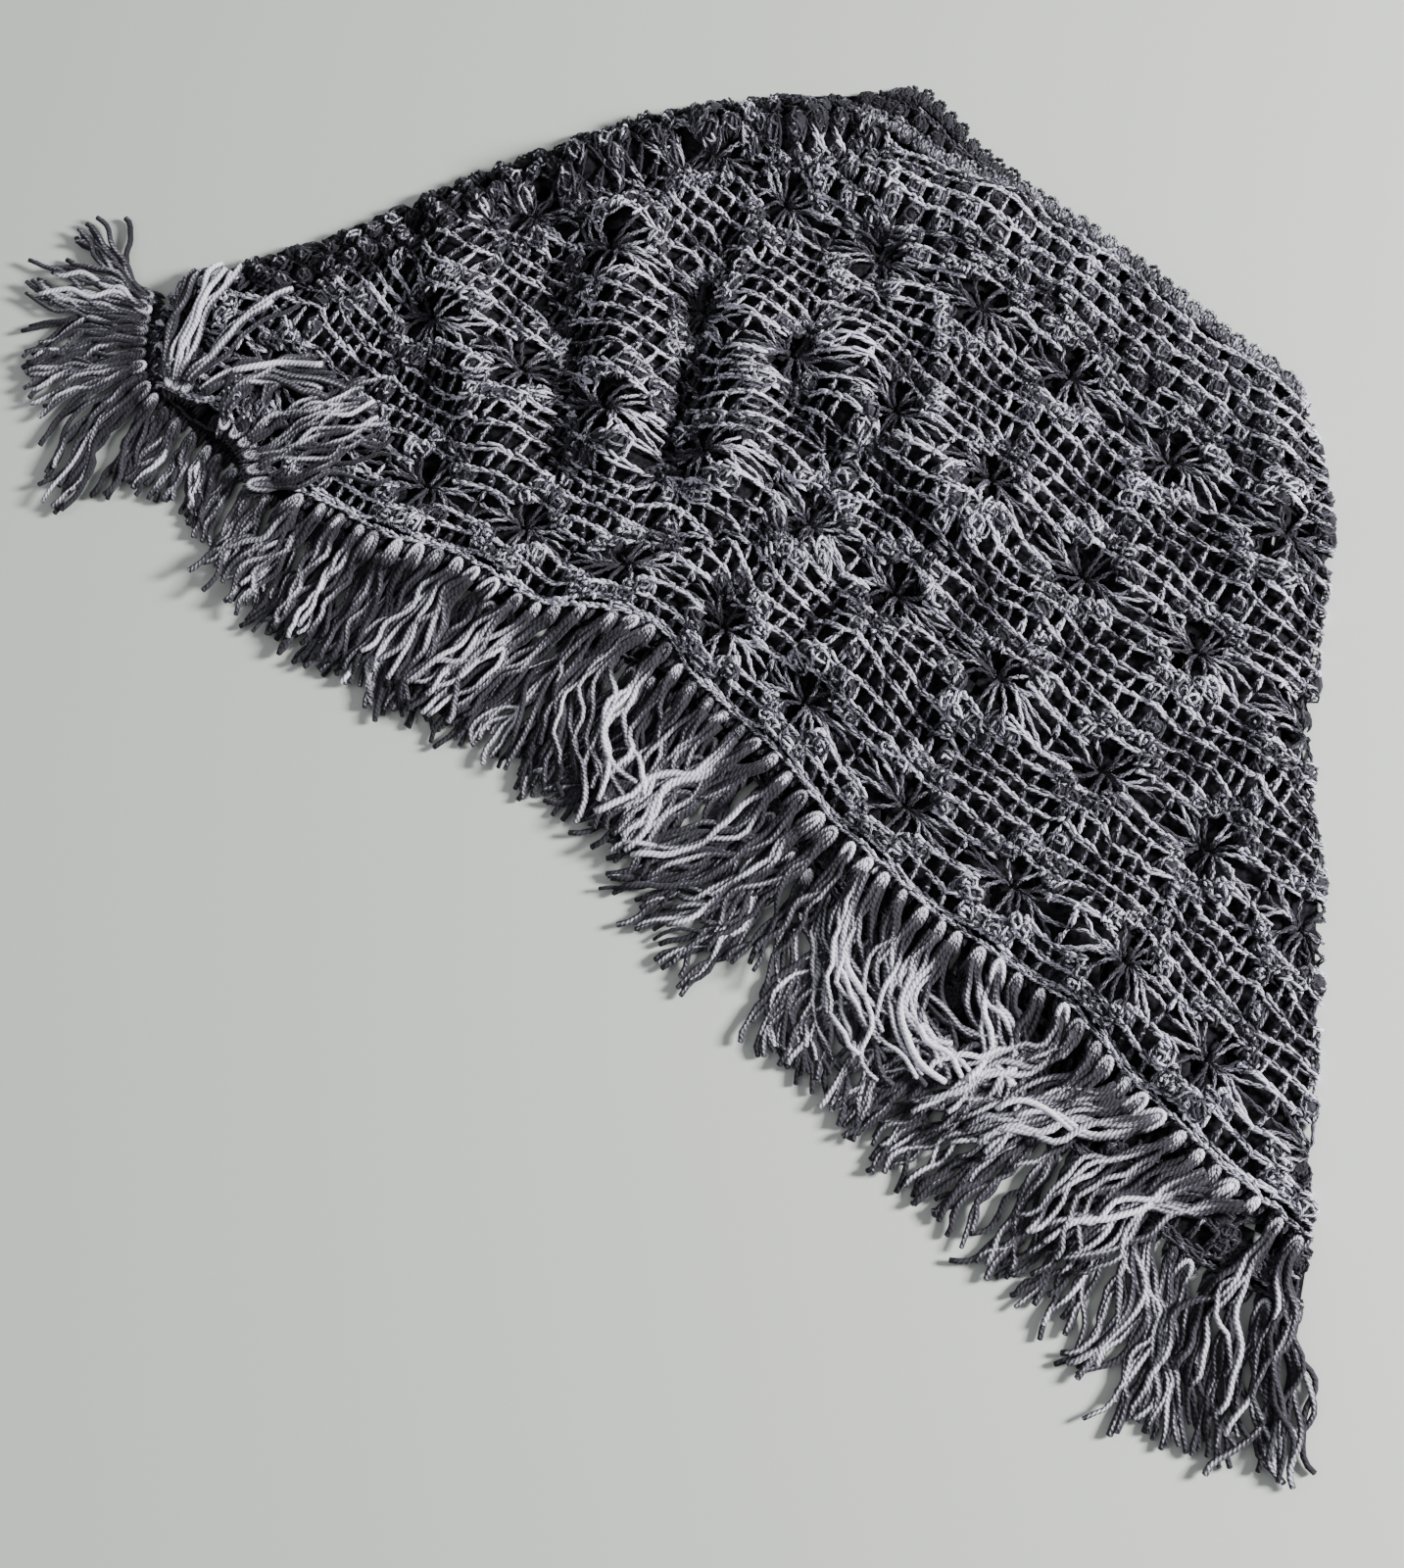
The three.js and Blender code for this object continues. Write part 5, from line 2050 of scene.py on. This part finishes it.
@dataclass
class Poncho:
    """The whole poncho: both halves of lace, the neck's shells and the fringe.

    Attributes:
        lace_finish: the finish of the stitches.
        edging_finish: the finish of the shells.
        fringe_finish: the finish of the fringe.
        shade_sheet_finish: the painted shade finish of the dark sheets that stand for the shaded
            depth of the crochet.
        back_shade: how much lighter the yarn of the back half is, which lies in shade.
    """

    lace_finish: YarnFinish = YarnFinish(
        "lace_yarn", (0.012, 0.011, 0.0145), (0.062, 0.057, 0.075), (0.96, 0.93, 1.08)
    )
    edging_finish: YarnFinish = YarnFinish(
        "neck_yarn", (0.012, 0.011, 0.0145), (0.08, 0.075, 0.094), (0.66, 0.64, 0.74)
    )
    fringe_finish: YarnFinish = YarnFinish(
        "loose_yarn", (0.013, 0.0118, 0.0155), (0.058, 0.054, 0.068), (0.98, 0.95, 1.07),
        relief=0.45, twist=0.26,
    )
    shade_sheet_finish: ShadeSheetFinish = ShadeSheetFinish()
    back_shade: float = -0.75

    def build(self) -> None:
        """Builds and dresses every piece."""
        self.units = Units()
        self.lace = self.lace_finish.material()
        self.edging = self.edging_finish.material()
        self.loose = self.fringe_finish.material()
        self.shade = self.shade_sheet_finish.material()
        front = self._front()
        back = self._back()

    def _dress(
        self,
        piece: bpy.types.Object,
        finish: bpy.types.Material,
        nodes: tuple[str, ...] = (),
    ) -> bpy.types.Object:
        """Gives a piece its finish and its place in the frame.

        Args:
            piece: the piece.
            finish: its material.
            nodes: the CAD nodes that it stands for.

        Returns:
            The piece.
        """
        piece.data.materials.clear()
        piece.data.materials.append(finish)
        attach(piece, "root")
        if nodes:
            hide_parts(*nodes)
        LOG.info("piece %s in place", piece.name)
        return piece

    def _front(self) -> list[bpy.types.Object]:
        """Builds the front half's pieces, its dark sheet of painted shade first.

        Returns:
            The pieces.
        """
        lace = LaceHalf(FRONT, self.units, 11)
        shade_sheet = self._dress(
            ShadeSheet(FRONT, "front_shade_sheet", 2.3).make(), self.shade, ("panel_front",)
        )
        rows = YarnWork("front_rows", 21)
        lace.rows(rows, Detail.FINE)
        posts = YarnWork("front_posts", 22)
        lace.posts(posts, Detail.FINE)
        bobbles = YarnWork("front_bobbles", 23)
        lace.bobbles(bobbles, Detail.FINE)
        stars = YarnWork("front_stars", 24)
        lace.stars(stars, Detail.FINE)
        pieces = [shade_sheet]
        for work in (rows, posts, bobbles, stars):
            pieces.append(self._dress(work.make(), self.lace))
        shells = YarnWork("front_neck_shells", 25)
        NeckShells(FRONT, self.units, 31).build(shells)
        pieces.append(
            self._dress(shells.make(), self.edging, ("neck_edging_front",))
        )
        hanging = YarnWork("front_fringe", 26)
        fringe = Fringe(self.units, 41)
        fringe.along_hem(hanging, FRONT, FRONT_GUIDES, Under(3.6), 6.0, 0.74)
        names = tuple(f"fringe_front_{k}" for k in range(1, 10))
        pieces.append(self._dress(hanging.make(), self.loose, names))
        thrown = YarnWork("turned_fringe", 27)
        over = Under(2.4, FRONT)
        thick = Fringe(self.units, 43, ends=4, radius=1.6, unrest=6.0, wave=0.5)
        thick.placed(thrown, UP_GUIDES, 4, FRONT_LEVEL + 3.0, over, 3.0, 0.95)
        loose = Fringe(self.units, 44, ends=5, radius=1.3, unrest=11.0)
        loose.placed(thrown, OVER_GUIDES, 6, FRONT_LEVEL + 5.0, over, 3.4, 0.88)
        names = ("fringe_turned_1", "fringe_turned_2")
        pieces.append(self._dress(thrown.make(), self.loose, names))
        return pieces

    def _back(self) -> list[bpy.types.Object]:
        """Builds the back half's pieces, its dark sheet of painted shade first.

        Returns:
            The pieces.
        """
        lace = LaceHalf(BACK, self.units, 12, bobble_rise=2.6, shade=self.back_shade)
        shade_sheet = self._dress(
            ShadeSheet(BACK, "back_shade_sheet", 1.0).make(), self.shade, ("panel_back",)
        )
        mesh = YarnWork("back_mesh", 51)
        lumps = YarnWork("back_bobbles", 52)
        for detail in Detail:
            lace.rows(mesh, detail)
            lace.posts(mesh, detail)
            lace.stars(lumps, detail)
            lace.bobbles(lumps, detail)
        pieces = [shade_sheet]
        for work in (mesh, lumps):
            pieces.append(self._dress(work.make(), self.lace))
        shells = YarnWork("back_neck_shells", 53)
        NeckShells(BACK, self.units, 32, shade=self.back_shade).build(shells)
        pieces.append(
            self._dress(shells.make(), self.edging, ("neck_edging_back",))
        )
        hanging = YarnWork("back_fringe", 54)
        fringe = Fringe(self.units, 42, ends=7, wave=0.85)
        # Painted shade: the back's fringe, which lies under the front's, is painted darker.
        fringe.along_hem(hanging, BACK, BACK_GUIDES, Under(1.5), 2.4, 0.42)
        names = tuple(f"fringe_back_{k}" for k in range(1, 8))
        pieces.append(self._dress(hanging.make(), self.loose, names))
        fan = YarnWork("tip_fringe", 55)
        fringe.placed(fan, TIP_GUIDES, 11, 4.0, Under(1.5), 5.0, 0.64)
        pieces.append(self._dress(fan.make(), self.loose, ("fringe_tip",)))
        return pieces


def corners(box: tuple[Vector, Vector]) -> list[list[float]]:
    """Turns a box into plain lists of numbers.

    Args:
        box: its lowest and highest corners.

    Returns:
        The two corners as lists.
    """
    return [[float(c) for c in corner] for corner in box]


def main() -> None:
    """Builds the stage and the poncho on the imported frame."""
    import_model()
    studio = Studio()
    studio.camera()
    Poncho().build()
    studio.floor()
    studio.lights()


if __name__ == "__main__":
    main()
